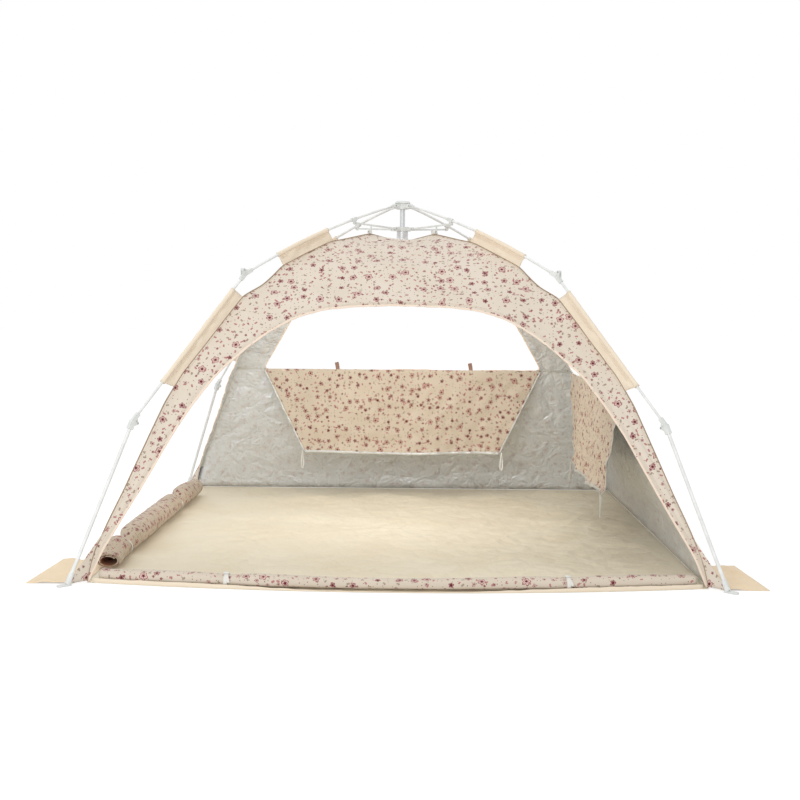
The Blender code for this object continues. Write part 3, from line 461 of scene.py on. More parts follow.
class Shade(Graph):
    """A material's node tree, with short methods for the nodes that the finishes share."""

    def __init__(self, name: str) -> None:
        """Starts a material whose surface is one Principled shader.

        Args:
            name: The material's name.
        """
        self.material = bpy.data.materials.new(name)
        self.material.use_nodes = True
        self.tree = self.material.node_tree
        self.surface = self.tree.nodes["Principled BSDF"]

    def feed(self, value: Input, socket: Socket) -> None:
        """Links a socket, or sets a plain value on it.

        Args:
            value: A socket or a plain value.
            socket: The input that gets it.
        """
        if isinstance(value, Socket):
            self.tree.links.new(value, socket)
        else:
            socket.default_value = value

    def math(self, operation: str, *values: Input) -> Socket:
        """One Math node.

        Args:
            operation: The node's operation.
            values: Its inputs in order.

        Returns:
            The result.
        """
        made = self.node("ShaderNodeMath", operation=operation)
        for value, socket in zip(values, made.inputs):
            self.feed(value, socket)
        return made.outputs[0]

    def vector(self, operation: str, first: Input, second: Input, scale: float | None = None) -> Socket:
        """One Vector Math node.

        Args:
            operation: The node's operation.
            first: The first vector.
            second: The second, where there is no scale.
            scale: The factor of a SCALE node.

        Returns:
            The resulting vector.
        """
        made = self.node("ShaderNodeVectorMath", operation=operation)
        self.feed(first, made.inputs[0])
        if scale is None:
            self.feed(second, made.inputs[1])
        else:
            made.inputs["Scale"].default_value = scale
        return made.outputs["Vector"]

    def mix(self, share: Input, first: Input, second: Input) -> Socket:
        """A blend of two colours.

        Args:
            share: The second colour's share.
            first: The first colour.
            second: The second colour.

        Returns:
            The blended colour.
        """
        made = self.node("ShaderNodeMix", data_type="RGBA")
        self.feed(share, made.inputs["Factor"])
        self.feed(first, made.inputs[6])
        self.feed(second, made.inputs[7])
        return made.outputs[2]

    def step(self, value: Input, low: float, high: float) -> Socket:
        """A soft mask that is 1 where the value is under low and 0 over high.

        Args:
            value: What is masked.
            low: Where the mask starts to fall.
            high: Where it reaches 0.

        Returns:
            The mask.
        """
        made = self.node("ShaderNodeMapRange", interpolation_type="SMOOTHSTEP")
        self.feed(value, made.inputs["Value"])
        made.inputs["From Min"].default_value = low
        made.inputs["From Max"].default_value = high
        made.inputs["To Min"].default_value = 1.0
        made.inputs["To Max"].default_value = 0.0
        return made.outputs["Result"]

    def noise(self, place: Socket, scale: float, detail: float = 3.0, rough: float = 0.55) -> Socket:
        """Cloudy noise from 0 to 1.

        Args:
            place: The coordinates.
            scale: About how many waves fill a metre.
            detail: How many finer layers it has.
            rough: The finer layers' share.

        Returns:
            The noise.
        """
        made = self.node("ShaderNodeTexNoise")
        self.feed(place, made.inputs["Vector"])
        made.inputs["Scale"].default_value = scale
        made.inputs["Detail"].default_value = detail
        made.inputs["Roughness"].default_value = rough
        return made.outputs["Fac"]

    def cells(self, place: Socket, scale: float, feature: str = "F1", flat: bool = False) -> bpy.types.Node:
        """A Voronoi node on these coordinates.

        Args:
            place: The coordinates.
            scale: About how many cells fill a metre.
            feature: What the node measures.
            flat: Whether the cells are two-dimensional.

        Returns:
            The node.
        """
        made = self.node("ShaderNodeTexVoronoi", feature=feature, voronoi_dimensions="2D" if flat else "3D")
        self.feed(place, made.inputs["Vector"])
        made.inputs["Scale"].default_value = scale
        return made

    def bump(self, height: Socket, strength: float, distance: float, normal: Socket | None = None) -> Socket:
        """A bump over the surface or over another bump.

        Args:
            height: What stands up.
            strength: How much of it shows.
            distance: Its full height in metres.
            normal: The bump under it.

        Returns:
            The new normal.
        """
        made = self.node("ShaderNodeBump")
        made.inputs["Strength"].default_value = strength
        made.inputs["Distance"].default_value = distance
        self.feed(height, made.inputs["Height"])
        if normal is not None:
            self.feed(normal, made.inputs["Normal"])
        return made.outputs["Normal"]

    def cloth_map(self) -> Socket:
        """The piece's own cloth map, in metres."""
        return self.node("ShaderNodeUVMap", uv_map="Cloth").outputs["UV"]

    def body_place(self) -> Socket:
        """The place on the object, in metres."""
        return self.node("ShaderNodeTexCoord").outputs["Object"]

    def weave(self, place: Socket, threads: float) -> Socket:
        """Crossed threads of a plain weave, from 0 to 1.

        Args:
            place: The cloth map.
            threads: Threads to the metre.

        Returns:
            The height of the weave.
        """
        parts = self.node("ShaderNodeSeparateXYZ")
        self.feed(place, parts.inputs[0])
        turns = threads * math.tau
        waves = [self.math("SINE", self.math("MULTIPLY", parts.outputs[k], turns)) for k in (0, 1)]
        return self.math("MULTIPLY_ADD", self.math("MULTIPLY", *waves), 0.5, 0.5)

    def finish(self, **inputs: Input) -> bpy.types.Material:
        """Feeds the surface's sockets.

        Args:
            inputs: Sockets or values by the name of their input, with _ for a blank.

        Returns:
            The material.
        """
        for name, value in inputs.items():
            self.feed(value, self.surface.inputs[name.replace("_", " ").title()])
        return self.material


@dataclass(frozen=True)
class FlowerPrint:
    """A small scattered print of blossoms, buds, leaves and dots."""

    cell: float = 0.062
    blossom: float = 0.0134
    burgundy: tuple[float, float, float] = (134, 44, 60)
    dark: tuple[float, float, float] = (98, 12, 30)
    pink: tuple[float, float, float] = (222, 190, 180)
    taupe: tuple[float, float, float] = (164, 146, 126)
    mauve: tuple[float, float, float] = (182, 124, 120)
    leaf_cell: float = 0.024
    dot_cell: float = 0.0165
    bud_cell: float = 0.033
    bud: float = 0.0062

    def scatter(self, shade: Shade, place: Socket, cell: float, shift: float) -> tuple[Socket, ...]:
        """Splits the cloth into cells, and measures from the motif in each.

        Args:
            shade: The node tree.
            place: The cloth map in metres.
            cell: The spacing of the motifs.
            shift: Where this layer starts, so that the layers differ.

        Returns:
            The distance from the motif's centre, the angle round it, and two random shares.
        """
        moved = shade.vector("ADD", place, (shift, shift * 1.7, 0.0))
        scaled = shade.vector("SCALE", moved, 0.0, 1.0 / cell)
        cells = shade.cells(scaled, 1.0, flat=True)
        cells.inputs["Randomness"].default_value = 0.78
        offset = shade.vector("SUBTRACT", scaled, cells.outputs["Position"])
        parts = shade.node("ShaderNodeSeparateXYZ")
        shade.feed(offset, parts.inputs[0])
        chance = shade.node("ShaderNodeSeparateColor")
        shade.feed(cells.outputs["Color"], chance.inputs[0])
        distance = shade.math("MULTIPLY", cells.outputs["Distance"], cell)
        angle = shade.math("ARCTAN2", parts.outputs[1], parts.outputs[0])
        turned = shade.math("MULTIPLY_ADD", chance.outputs[1], math.tau, angle)
        return distance, turned, chance.outputs[0], chance.outputs[2]

    def over(self, shade: Shade, place: Socket, ground: Socket, strength: float = 1.0) -> Socket:
        """Prints the motifs over a ground colour.

        Args:
            shade: The node tree.
            place: The cloth map in metres.
            ground: The cloth's own colour.
            strength: How strongly the inks cover, from 0 to 1.

        Returns:
            The printed colour.
        """
        def ink(mask: Socket, colour: tuple[float, float, float], under: Socket) -> Socket:
            """Lays one ink over the colours so far."""
            share = shade.math("MULTIPLY", mask, strength) if strength < 1 else mask
            return shade.mix(share, under, linear(*colour))

        def kept(mask: Socket, chance: Socket, share: float) -> Socket:
            """Keeps a motif only in some cells."""
            return shade.math("MULTIPLY", mask, shade.math("LESS_THAN", chance, share))

        distance, angle, keep, size = self.scatter(shade, place, self.leaf_cell, 0.37)
        pointed = shade.math("ABSOLUTE", shade.math("COSINE", angle))
        narrow = shade.math("MULTIPLY_ADD", pointed, 0.0040, 0.0014)
        leaf_mask = shade.step(shade.math("SUBTRACT", distance, narrow), 0.0, 0.0009)
        colour = ink(kept(leaf_mask, keep, 0.34), self.taupe, ground)
        colour = ink(kept(leaf_mask, size, 0.3), self.mauve, colour)
        distance, _, keep, _ = self.scatter(shade, place, self.dot_cell, 0.91)
        colour = ink(kept(shade.step(distance, 0.0011, 0.0018), keep, 0.52), self.dark, colour)
        layers = ((self.bud_cell, self.bud, 1.43, 0.4), (self.cell, self.blossom, 0.0, 0.8))
        for cell, radius, shift, share in layers:
            distance, angle, keep, size = self.scatter(shade, place, cell, shift)
            lobes = shade.math("ABSOLUTE", shade.math("COSINE", shade.math("MULTIPLY", angle, 2.5)))
            reach = shade.math("MULTIPLY_ADD", lobes, radius * 0.42, radius * 0.58)
            reach = shade.math("MULTIPLY", reach, shade.math("MULTIPLY_ADD", size, 0.5, 0.62))
            edge = shade.math("SUBTRACT", distance, reach)
            line = radius * 0.13
            petals = kept(shade.step(edge, -line * 0.2, line * 0.4), keep, share)
            outline = kept(shade.step(shade.math("ABSOLUTE", edge), line * 0.4, line), keep, share)
            heart = kept(shade.step(distance, radius * 0.30, radius * 0.42), keep, share)
            veins = shade.math("ABSOLUTE", shade.math("SINE", shade.math("MULTIPLY", angle, 2.5)))
            inner = shade.step(distance, radius * 0.5, radius * 0.7)
            vein_mask = kept(shade.math("MULTIPLY", shade.step(veins, 0.2, 0.45), inner), keep, share)
            colour = ink(petals, self.pink, colour)
            colour = ink(outline, self.burgundy, colour)
            colour = ink(vein_mask, self.dark, colour)
            colour = ink(heart, self.dark, colour)
        return colour


@dataclass(frozen=True)
class PrintedCloth:
    """Thin woven polyester with the flower print."""

    name: str
    ground: tuple[float, float, float] = (232, 221, 207)
    shadow: tuple[float, float, float] = (218, 205, 187)
    pattern: FlowerPrint = FlowerPrint()

    def make(self) -> bpy.types.Material:
        """Builds the material.

        Returns:
            The material.
        """
        shade = Shade(self.name)
        place = shade.cloth_map()
        cloudy = shade.noise(place, 5.0, 4.0)
        ground = shade.mix(cloudy, linear(*self.ground), linear(*self.shadow))
        colour = self.pattern.over(shade, place, ground)
        creases = shade.cells(place, 9.0, "SMOOTH_F1").outputs["Distance"]
        soft = shade.bump(shade.noise(place, 26.0, 5.0, 0.6), 0.35, 0.004)
        folded = shade.bump(creases, 0.25, 0.006, soft)
        normal = shade.bump(shade.weave(place, 900.0), 0.12, 0.0004, folded)
        rough = shade.math("MULTIPLY_ADD", cloudy, 0.12, 0.66)
        return shade.finish(base_color=colour, roughness=rough, normal=normal, sheen_weight=0.12,
                            sheen_roughness=0.45)


@dataclass(frozen=True)
class SilverCoat:
    """The silver sun coating on the cloth's inner side, crumpled, with the print faintly behind it."""

    name: str
    light: tuple[float, float, float] = (230, 233, 235)
    dull: tuple[float, float, float] = (212, 213, 212)
    crumple: float = 1.0
    ghost: float = 0.14

    def make(self) -> bpy.types.Material:
        """Builds the material.

        Returns:
            The material.
        """
        shade = Shade(self.name)
        place = shade.cloth_map()
        cloudy = shade.noise(place, 7.0, 5.0, 0.62)
        colour = shade.mix(cloudy, linear(*self.dull), linear(*self.light))
        if self.ghost:
            colour = FlowerPrint().over(shade, place, colour, self.ghost)
        drift = shade.node("ShaderNodeTexNoise")
        shade.feed(place, drift.inputs["Vector"])
        drift.inputs["Scale"].default_value = 6.0
        warped = shade.vector("ADD", place, shade.vector("SCALE", drift.outputs["Color"], 0.0, 0.16))
        creases = shade.cells(warped, 11.0, "DISTANCE_TO_EDGE").outputs["Distance"]
        small = shade.cells(warped, 34.0, "DISTANCE_TO_EDGE").outputs["Distance"]
        normal = shade.bump(creases, 0.50 * self.crumple, 0.026)
        normal = shade.bump(small, 0.50 * self.crumple, 0.010, normal)
        normal = shade.bump(shade.noise(place, 60.0, 4.0, 0.6), 0.25 * self.crumple, 0.003, normal)
        normal = shade.bump(shade.weave(place, 900.0), 0.1, 0.0004, normal)
        rough = shade.math("MULTIPLY_ADD", cloudy, 0.16, 0.30)
        return shade.finish(base_color=colour, roughness=rough, normal=normal, metallic=0.30)


@dataclass(frozen=True)
class PlainCloth:
    """Unprinted woven cloth or tape."""

    name: str
    colour: tuple[float, float, float]
    shadow: tuple[float, float, float]
    roughness: float = 0.72
    crumple: float = 0.3
    threads: float = 700.0
    cloud: float = 4.0

    def make(self) -> bpy.types.Material:
        """Builds the material.

        Returns:
            The material.
        """
        shade = Shade(self.name)
        place = shade.cloth_map()
        cloudy = shade.noise(place, self.cloud, 5.0, 0.6)
        colour = shade.mix(cloudy, linear(*self.shadow), linear(*self.colour))
        creases = shade.cells(place, 8.0, "DISTANCE_TO_EDGE").outputs["Distance"]
        normal = shade.bump(creases, self.crumple, 0.012)
        normal = shade.bump(shade.noise(place, 38.0, 5.0, 0.62), self.crumple, 0.004, normal)
        normal = shade.bump(shade.weave(place, self.threads), 0.15, 0.0005, normal)
        rough = shade.math("MULTIPLY_ADD", cloudy, -0.1, self.roughness + 0.05)
        return shade.finish(base_color=colour, roughness=rough, normal=normal, sheen_weight=0.1)


@dataclass(frozen=True)
class HardSurface:
    """Painted rod, moulded plastic or metal."""

    name: str
    colour: tuple[float, float, float]
    worn: tuple[float, float, float]
    roughness: float = 0.4
    metallic: float = 0.0
    coat: float = 0.0
    grain: float = 900.0
    grain_depth: float = 0.08
    stretched: bool = False

    def make(self) -> bpy.types.Material:
        """Builds the material.

        Returns:
            The material.
        """
        shade = Shade(self.name)
        place = shade.body_place()
        if self.stretched:
            turned = shade.node("ShaderNodeMapping")
            shade.feed(place, turned.inputs["Vector"])
            turned.inputs["Scale"].default_value = (1.0, 1.0, 0.03)
            place = turned.outputs["Vector"]
        cloudy = shade.noise(place, 18.0, 6.0, 0.65)
        colour = shade.mix(shade.step(cloudy, 0.42, 0.62), linear(*self.colour), linear(*self.worn))
        grain = shade.noise(place, self.grain, 3.0, 0.6)
        normal = shade.bump(grain, self.grain_depth, 0.0006)
        rough = shade.math("MULTIPLY_ADD", cloudy, 0.2, self.roughness - 0.1)
        return shade.finish(base_color=colour, roughness=rough, normal=normal, metallic=self.metallic,
                            coat_weight=self.coat)


class Finishes:
    """The materials of the whole tent, each built once."""

    def __init__(self) -> None:
        """Builds them all."""
        self.print = PrintedCloth("printed polyester").make()
        # The front roll's print is a little darker than the canopy's: painted shade on the same cloth rolled
        # low at the front.
        self.shaded_roll_print = PrintedCloth("printed polyester, rolled", (225, 213, 197), (205, 191, 171)).make()
        # The side roll's print is the canopy's print made darker and browner: painted shade on the low roll
        # beside the left wall.
        shaded_brown_print = FlowerPrint(0.044, 0.0112, (118, 44, 52), (84, 14, 26), (200, 156, 144))
        self.shaded_side_roll_print = PrintedCloth("printed polyester, side roll", (208, 193, 172), (176, 158, 134),
                                       shaded_brown_print).make()
        # The flaps' print is the canopy's print made darker, in its ground and its inks: painted shade inside
        # the tent.
        shaded_small_print = FlowerPrint(0.050, 0.0112, (112, 34, 46), (82, 10, 22), (204, 166, 148))
        self.shaded_flap_print = PrintedCloth("printed polyester, flaps", (212, 197, 177), (195, 180, 158),
                                       shaded_small_print).make()
        self.silver = SilverCoat("silver coating").make()
        self.silver_edge = SilverCoat("silver binding", (222, 222, 218), (186, 184, 178), 0.5, 0.0).make()
        # The rolled doors' inner side is painted dark warm brown: painted shade and the warm glow of light
        # through the cloth in the rolls' hollows.
        self.hollow_shade = PlainCloth("warm lining", (186, 128, 88), (128, 80, 50), 0.8, 0.4).make()
        self.peach = PlainCloth("peach cloth", (244, 230, 209), (237, 220, 196), 0.72, 0.18).make()
        self.sand = PlainCloth("sand flap cloth", (246, 226, 194), (238, 214, 178), 0.72, 0.3).make()
        # The floor's darker cloudy patches are painted shade, standing in for the shade of its folds.
        self.floor = PlainCloth("woven floor sheet", (244, 236, 215), (220, 204, 172), 0.6, 0.9, 320.0,
                                2.6).make()
        self.binding = PlainCloth("peach binding", (247, 230, 212), (240, 218, 196), 0.66, 0.15).make()
        self.piping = PlainCloth("taupe piping", (176, 152, 126), (150, 128, 104), 0.7, 0.1).make()
        self.tape = PlainCloth("white tape", (238, 236, 230), (222, 219, 210), 0.7, 0.1, 1100.0).make()
        self.thread = PlainCloth("thread", (226, 206, 182), (206, 184, 158), 0.7, 0.1, 1500.0).make()
        self.tab = PlainCloth("brown tab", (172, 138, 120), (136, 102, 88), 0.8, 0.1).make()
        self.rod = HardSurface("white painted rod", (240, 242, 240), (230, 232, 230), 0.34, 0.0, 0.25).make()
        self.plastic = HardSurface("white moulded plastic", (234, 236, 234), (222, 225, 222), 0.46, 0.0, 0.0,
                                   420.0, 0.12).make()
        self.metal = HardSurface("satin grey tube", (226, 228, 229), (206, 208, 210), 0.34, 0.35, 0.0,
                                 700.0, 0.2, True).make()
        self.steel = HardSurface("bright rivet", (196, 197, 198), (170, 171, 173), 0.3, 0.9).make()


# Attaching


BODY_OF = {n: body for body, nodes in frame["record"]["behaviour"]["bodies"].items() for n in nodes}


def on_shelter(obj: bpy.types.Object, slot: Slot, *nodes: str, soft: bool = True) -> bpy.types.Object:
    """Lets a piece ride on the shelter.

    Args:
        obj: The finished piece.
        slot: Its material slot; it is not used.
        nodes: The nodes that it stands for.
        soft: Whether it gets a mesh of its own.

    Returns:
        The same piece.
    """
    if nodes:
        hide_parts(*nodes)
    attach(obj, "shelter")
    if soft:
        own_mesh(obj)
    LOG.info("%s rides shelter", obj.name)
    return obj


def on_body(obj: bpy.types.Object, slot: Slot, body: str, *nodes: str) -> bpy.types.Object:
    """Lets a piece ride on a body, and hides the nodes that it stands for.

    Args:
        obj: The finished piece.
        slot: Its material slot; it is not used.
        body: The body's name.
        nodes: The nodes that it stands for.

    Returns:
        The same piece.
    """
    if nodes:
        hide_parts(*nodes)
    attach(obj, body)
    LOG.info("%s rides %s", obj.name, body)
    return obj


# Canopy


RIDGE_SHARES = (
    (1.0, 0.0), (0.991, 0.04), (0.979, 0.081), (0.942, 0.161), (0.901, 0.242), (0.863, 0.323),
    (0.825, 0.403), (0.786, 0.484), (0.736, 0.565), (0.671, 0.645), (0.607, 0.726), (0.555, 0.79),
    (0.495, 0.823), (0.467, 0.847), (0.427, 0.887), (0.349, 0.927), (0.266, 0.968), (0.231, 0.974),
    (0.125, 1.0), (0.034, 0.983),
)
DOOR_SHARES = (
    (1.007, 0.0), (0.97, 0.105), (0.916, 0.21), (0.862, 0.315), (0.81, 0.421), (0.759, 0.526),
    (0.699, 0.631), (0.627, 0.736), (0.526, 0.841), (0.458, 0.894), (0.376, 0.946), (0.279, 0.978),
    (0.163, 0.994), (0.0, 1.0),
)

STATION_PITCH = 0.0165
STATION_CROWDS = (0.545, 1.215)  # beside a window's lower and upper corners
CROWD_DENSITY = 110.0
CROWD_REACH = 0.035

# How high the cloth's unevenness stands, in metres, on cloth of looseness or crumple 1
BILLOW = 0.0045
RIPPLE = 0.0011
FOLD = 0.0042
FINE_FOLD = 0.0017
DRAG_LINE = 0.0022
PUCKER = 0.0016
PLEAT = 0.0062
ROOF_SAG = 0.019


class Profile:
    """The curve that every side of the canopy follows from the floor to the hole round the tube."""

    def __init__(self, half: float = FLOOR_HALF, low: float = 0.0038, top: float = 1.24) -> None:
        """Draws the curve.

        Args:
            half: The half width at the floor.
            low: The height of the cloth's lower edge.
            top: The height of the roof's peak.
        """
        shares = np.array(RIDGE_SHARES)
        rough = np.stack((half * shares[:, 0], low + (top - low) * shares[:, 1]), axis=1)
        line = rounded(rough, 700, 0.028)
        self.v = lengths(line)
        self.w, self.z = line[:, 0], line[:, 1]
        self.dw, self.dz = np.gradient(self.w, self.v), np.gradient(self.z, self.v)
        self.length = float(self.v[-1])
        self.peak = int(np.argmax(self.z))

    def width(self, v: np.ndarray) -> np.ndarray:
        """The half width at a distance up the cloth."""
        return np.interp(v, self.v, self.w)

    def up_to(self, z: np.ndarray) -> np.ndarray:
        """The distance up the cloth at which a height is reached."""
        return np.interp(z, self.z[: self.peak], self.v[: self.peak])

    def stations(self) -> np.ndarray:
        """The distances at which every ridge has a point, closer together beside the windows' corners.

        Returns:
            Distances up the cloth.
        """
        fine = 4000
        place = np.linspace(0.0, self.length, fine)
        density = np.full(fine, 1 / STATION_PITCH)
        for near in STATION_CROWDS:
            density += CROWD_DENSITY * np.exp(-(((place - near) / CROWD_REACH) ** 2))
        total = np.cumsum(density * (self.length / fine))
        count = int(total[-1])
        shares = np.arange(1, count) / count
        return np.concatenate(([0.0], np.interp(shares * total[-1], total, place), [self.length]))


@dataclass
class Panel:
    """One side of the canopy, worked out on its flat cloth: x to the side and v up the cloth."""

    facing: Facing
    profile: Profile
    looseness: float
    crumple: float
    opening: np.ndarray
    centre: tuple[float, float]
    is_door: bool
    seed: int
    rings: int = 26

    def swell(self, x: np.ndarray, v: np.ndarray) -> np.ndarray:
        """How far the cloth stands out from its smooth form at each point.

        Args:
            x: Distances to the side.
            v: Distances up the cloth.

        Returns:
            One height for each point.
        """
        width = self.profile.width(v)
        edge, left = width - np.abs(x), self.profile.length - v
        inside = ease(edge, 0.0, 0.09) * ease(v, 0.0, 0.08) * ease(left, 0.0, 0.05)
        big = Ripples(0.22, 0.6, self.seed).at(x, v) * BILLOW
        small = Ripples(0.05, 0.13, self.seed + 1, 30).at(x, v) * RIPPLE
        folds = Ripples(0.09, 0.2, self.seed + 2, 18).creased(x, v) * FOLD
        fine = Ripples(0.04, 0.085, self.seed + 3, 18).creased(x, v) * FINE_FOLD
        height = self.looseness * (big + small) + self.crumple * (folds + fine)
        folds_down = 0.0
        if self.is_door:
            gap, place = self.to_opening(x, v)
            leg = 1 - ease(v, 0.75, 1.05)
            lines = Ripples(0.016, 0.034, self.seed + 4, 12, 0.0, 0.5).at(gap, place * 0.12)
            height = height + self.looseness * lines * DRAG_LINE * np.exp(-gap / 0.11) * (0.45 + 0.55 * leg)
            pucker = Ripples(0.03, 0.055, self.seed + 5, 10, 0.0, 0.4).at(place, gap * 0.2)
            height = height + self.looseness * pucker * PUCKER * np.exp(-gap / 0.022)
            pleats = Ripples(0.020, 0.042, self.seed + 6, 7, 0.0, 0.15).at(gap, place * 0.05)
            free = ease(edge, 0.0, 0.016) * ease(v, 0.0, 0.05)
            folds_down = self.looseness * pleats * PLEAT * (1 - ease(v, 0.30, 0.85)) * free
        sag = ROOF_SAG * (1 - np.minimum(np.abs(x) / np.maximum(width, 0.001), 1.0) ** 2)
        roof = (1 - ease(width, 0.16, 0.62)) * ease(left, 0.0, 0.06)
        return height * inside + folds_down - sag * roof

    def to_opening(self, x: np.ndarray, v: np.ndarray) -> tuple[np.ndarray, np.ndarray]:
        """The distance of each point from the opening's edge, and the place along the edge nearest to it.

        Args:
            x: Distances to the side.
            v: Distances up the cloth.

        Returns:
            The distances, and the places along the edge.
        """
        line = respaced(self.opening, 260)
        along = lengths(line)
        flat = np.stack((np.ravel(x), np.ravel(v)), axis=1)
        gap = np.linalg.norm(flat[:, None] - line[None], axis=2)
        nearest = gap.argmin(axis=1)
        return gap.min(axis=1).reshape(np.shape(x)), along[nearest].reshape(np.shape(x))

    def place(self, x: np.ndarray, v: np.ndarray, lift: float = 0.0) -> np.ndarray:
        """Sets flat points on the hanging cloth.

        Args:
            x: Distances to the side.
            v: Distances up the cloth.
            lift: How far outside the cloth's outer face they stand.

        Returns:
            Rows of x, y and z in the tent.
        """
        x, v = np.asarray(x, float), np.asarray(v, float)
        form = self.profile
        height = self.swell(x, v) + lift
        out = np.interp(v, form.v, form.w) + height * np.interp(v, form.v, form.dz)
        up = np.interp(v, form.v, form.z) - height * np.interp(v, form.v, form.dw)
        ahead, side = self.facing.axes()
        return out[..., None] * ahead + x[..., None] * side + up[..., None] * UP

    def border(self) -> np.ndarray:
        """The panel's outer line on the flat cloth, from its lower left corner round to the right one.

        Returns:
            Flat points, one a row.
        """
        v = self.profile.stations()
        width = self.profile.width(v)
        left = np.stack((-width, v), axis=1)
        top = np.stack((np.linspace(-width[-1], width[-1], 6), np.full(6, v[-1])), axis=1)
        right = left[::-1] * (-1, 1)
        line = np.concatenate((left, top[1:-1], right))
        if not self.is_door:
            bottom = np.stack((np.linspace(width[0], -width[0], 72), np.zeros(72)), axis=1)
            line = np.concatenate((line, bottom[1:-1]))
        return line

    def flat_grid(self) -> np.ndarray:
        """Rings of flat points from the opening's edge out to the border.

        Returns:
            Rings of flat points.
        """
        border = self.border()
        centre = np.array(self.centre)
        edge = respaced(self.opening, 2400) - centre
        turns = np.unwrap(np.arctan2(edge[:, 1], edge[:, 0]))
        reach = np.linalg.norm(edge, axis=1)
        order = np.argsort(turns)
        wanted = np.arctan2(border[:, 1] - centre[1], border[:, 0] - centre[0])
        low = turns.min()
        wanted = (wanted - low) % math.tau + low
        wanted = np.where(wanted > turns.max() + 0.3, wanted - math.tau, wanted)
        radius = np.interp(wanted, turns[order], reach[order])
        way = unit(border - centre)
        inner = centre + way * radius[:, None]
        shares = np.linspace(0.0, 1.0, self.rings)[:, None, None]
        return inner[None] * (1 - shares) + border[None] * shares


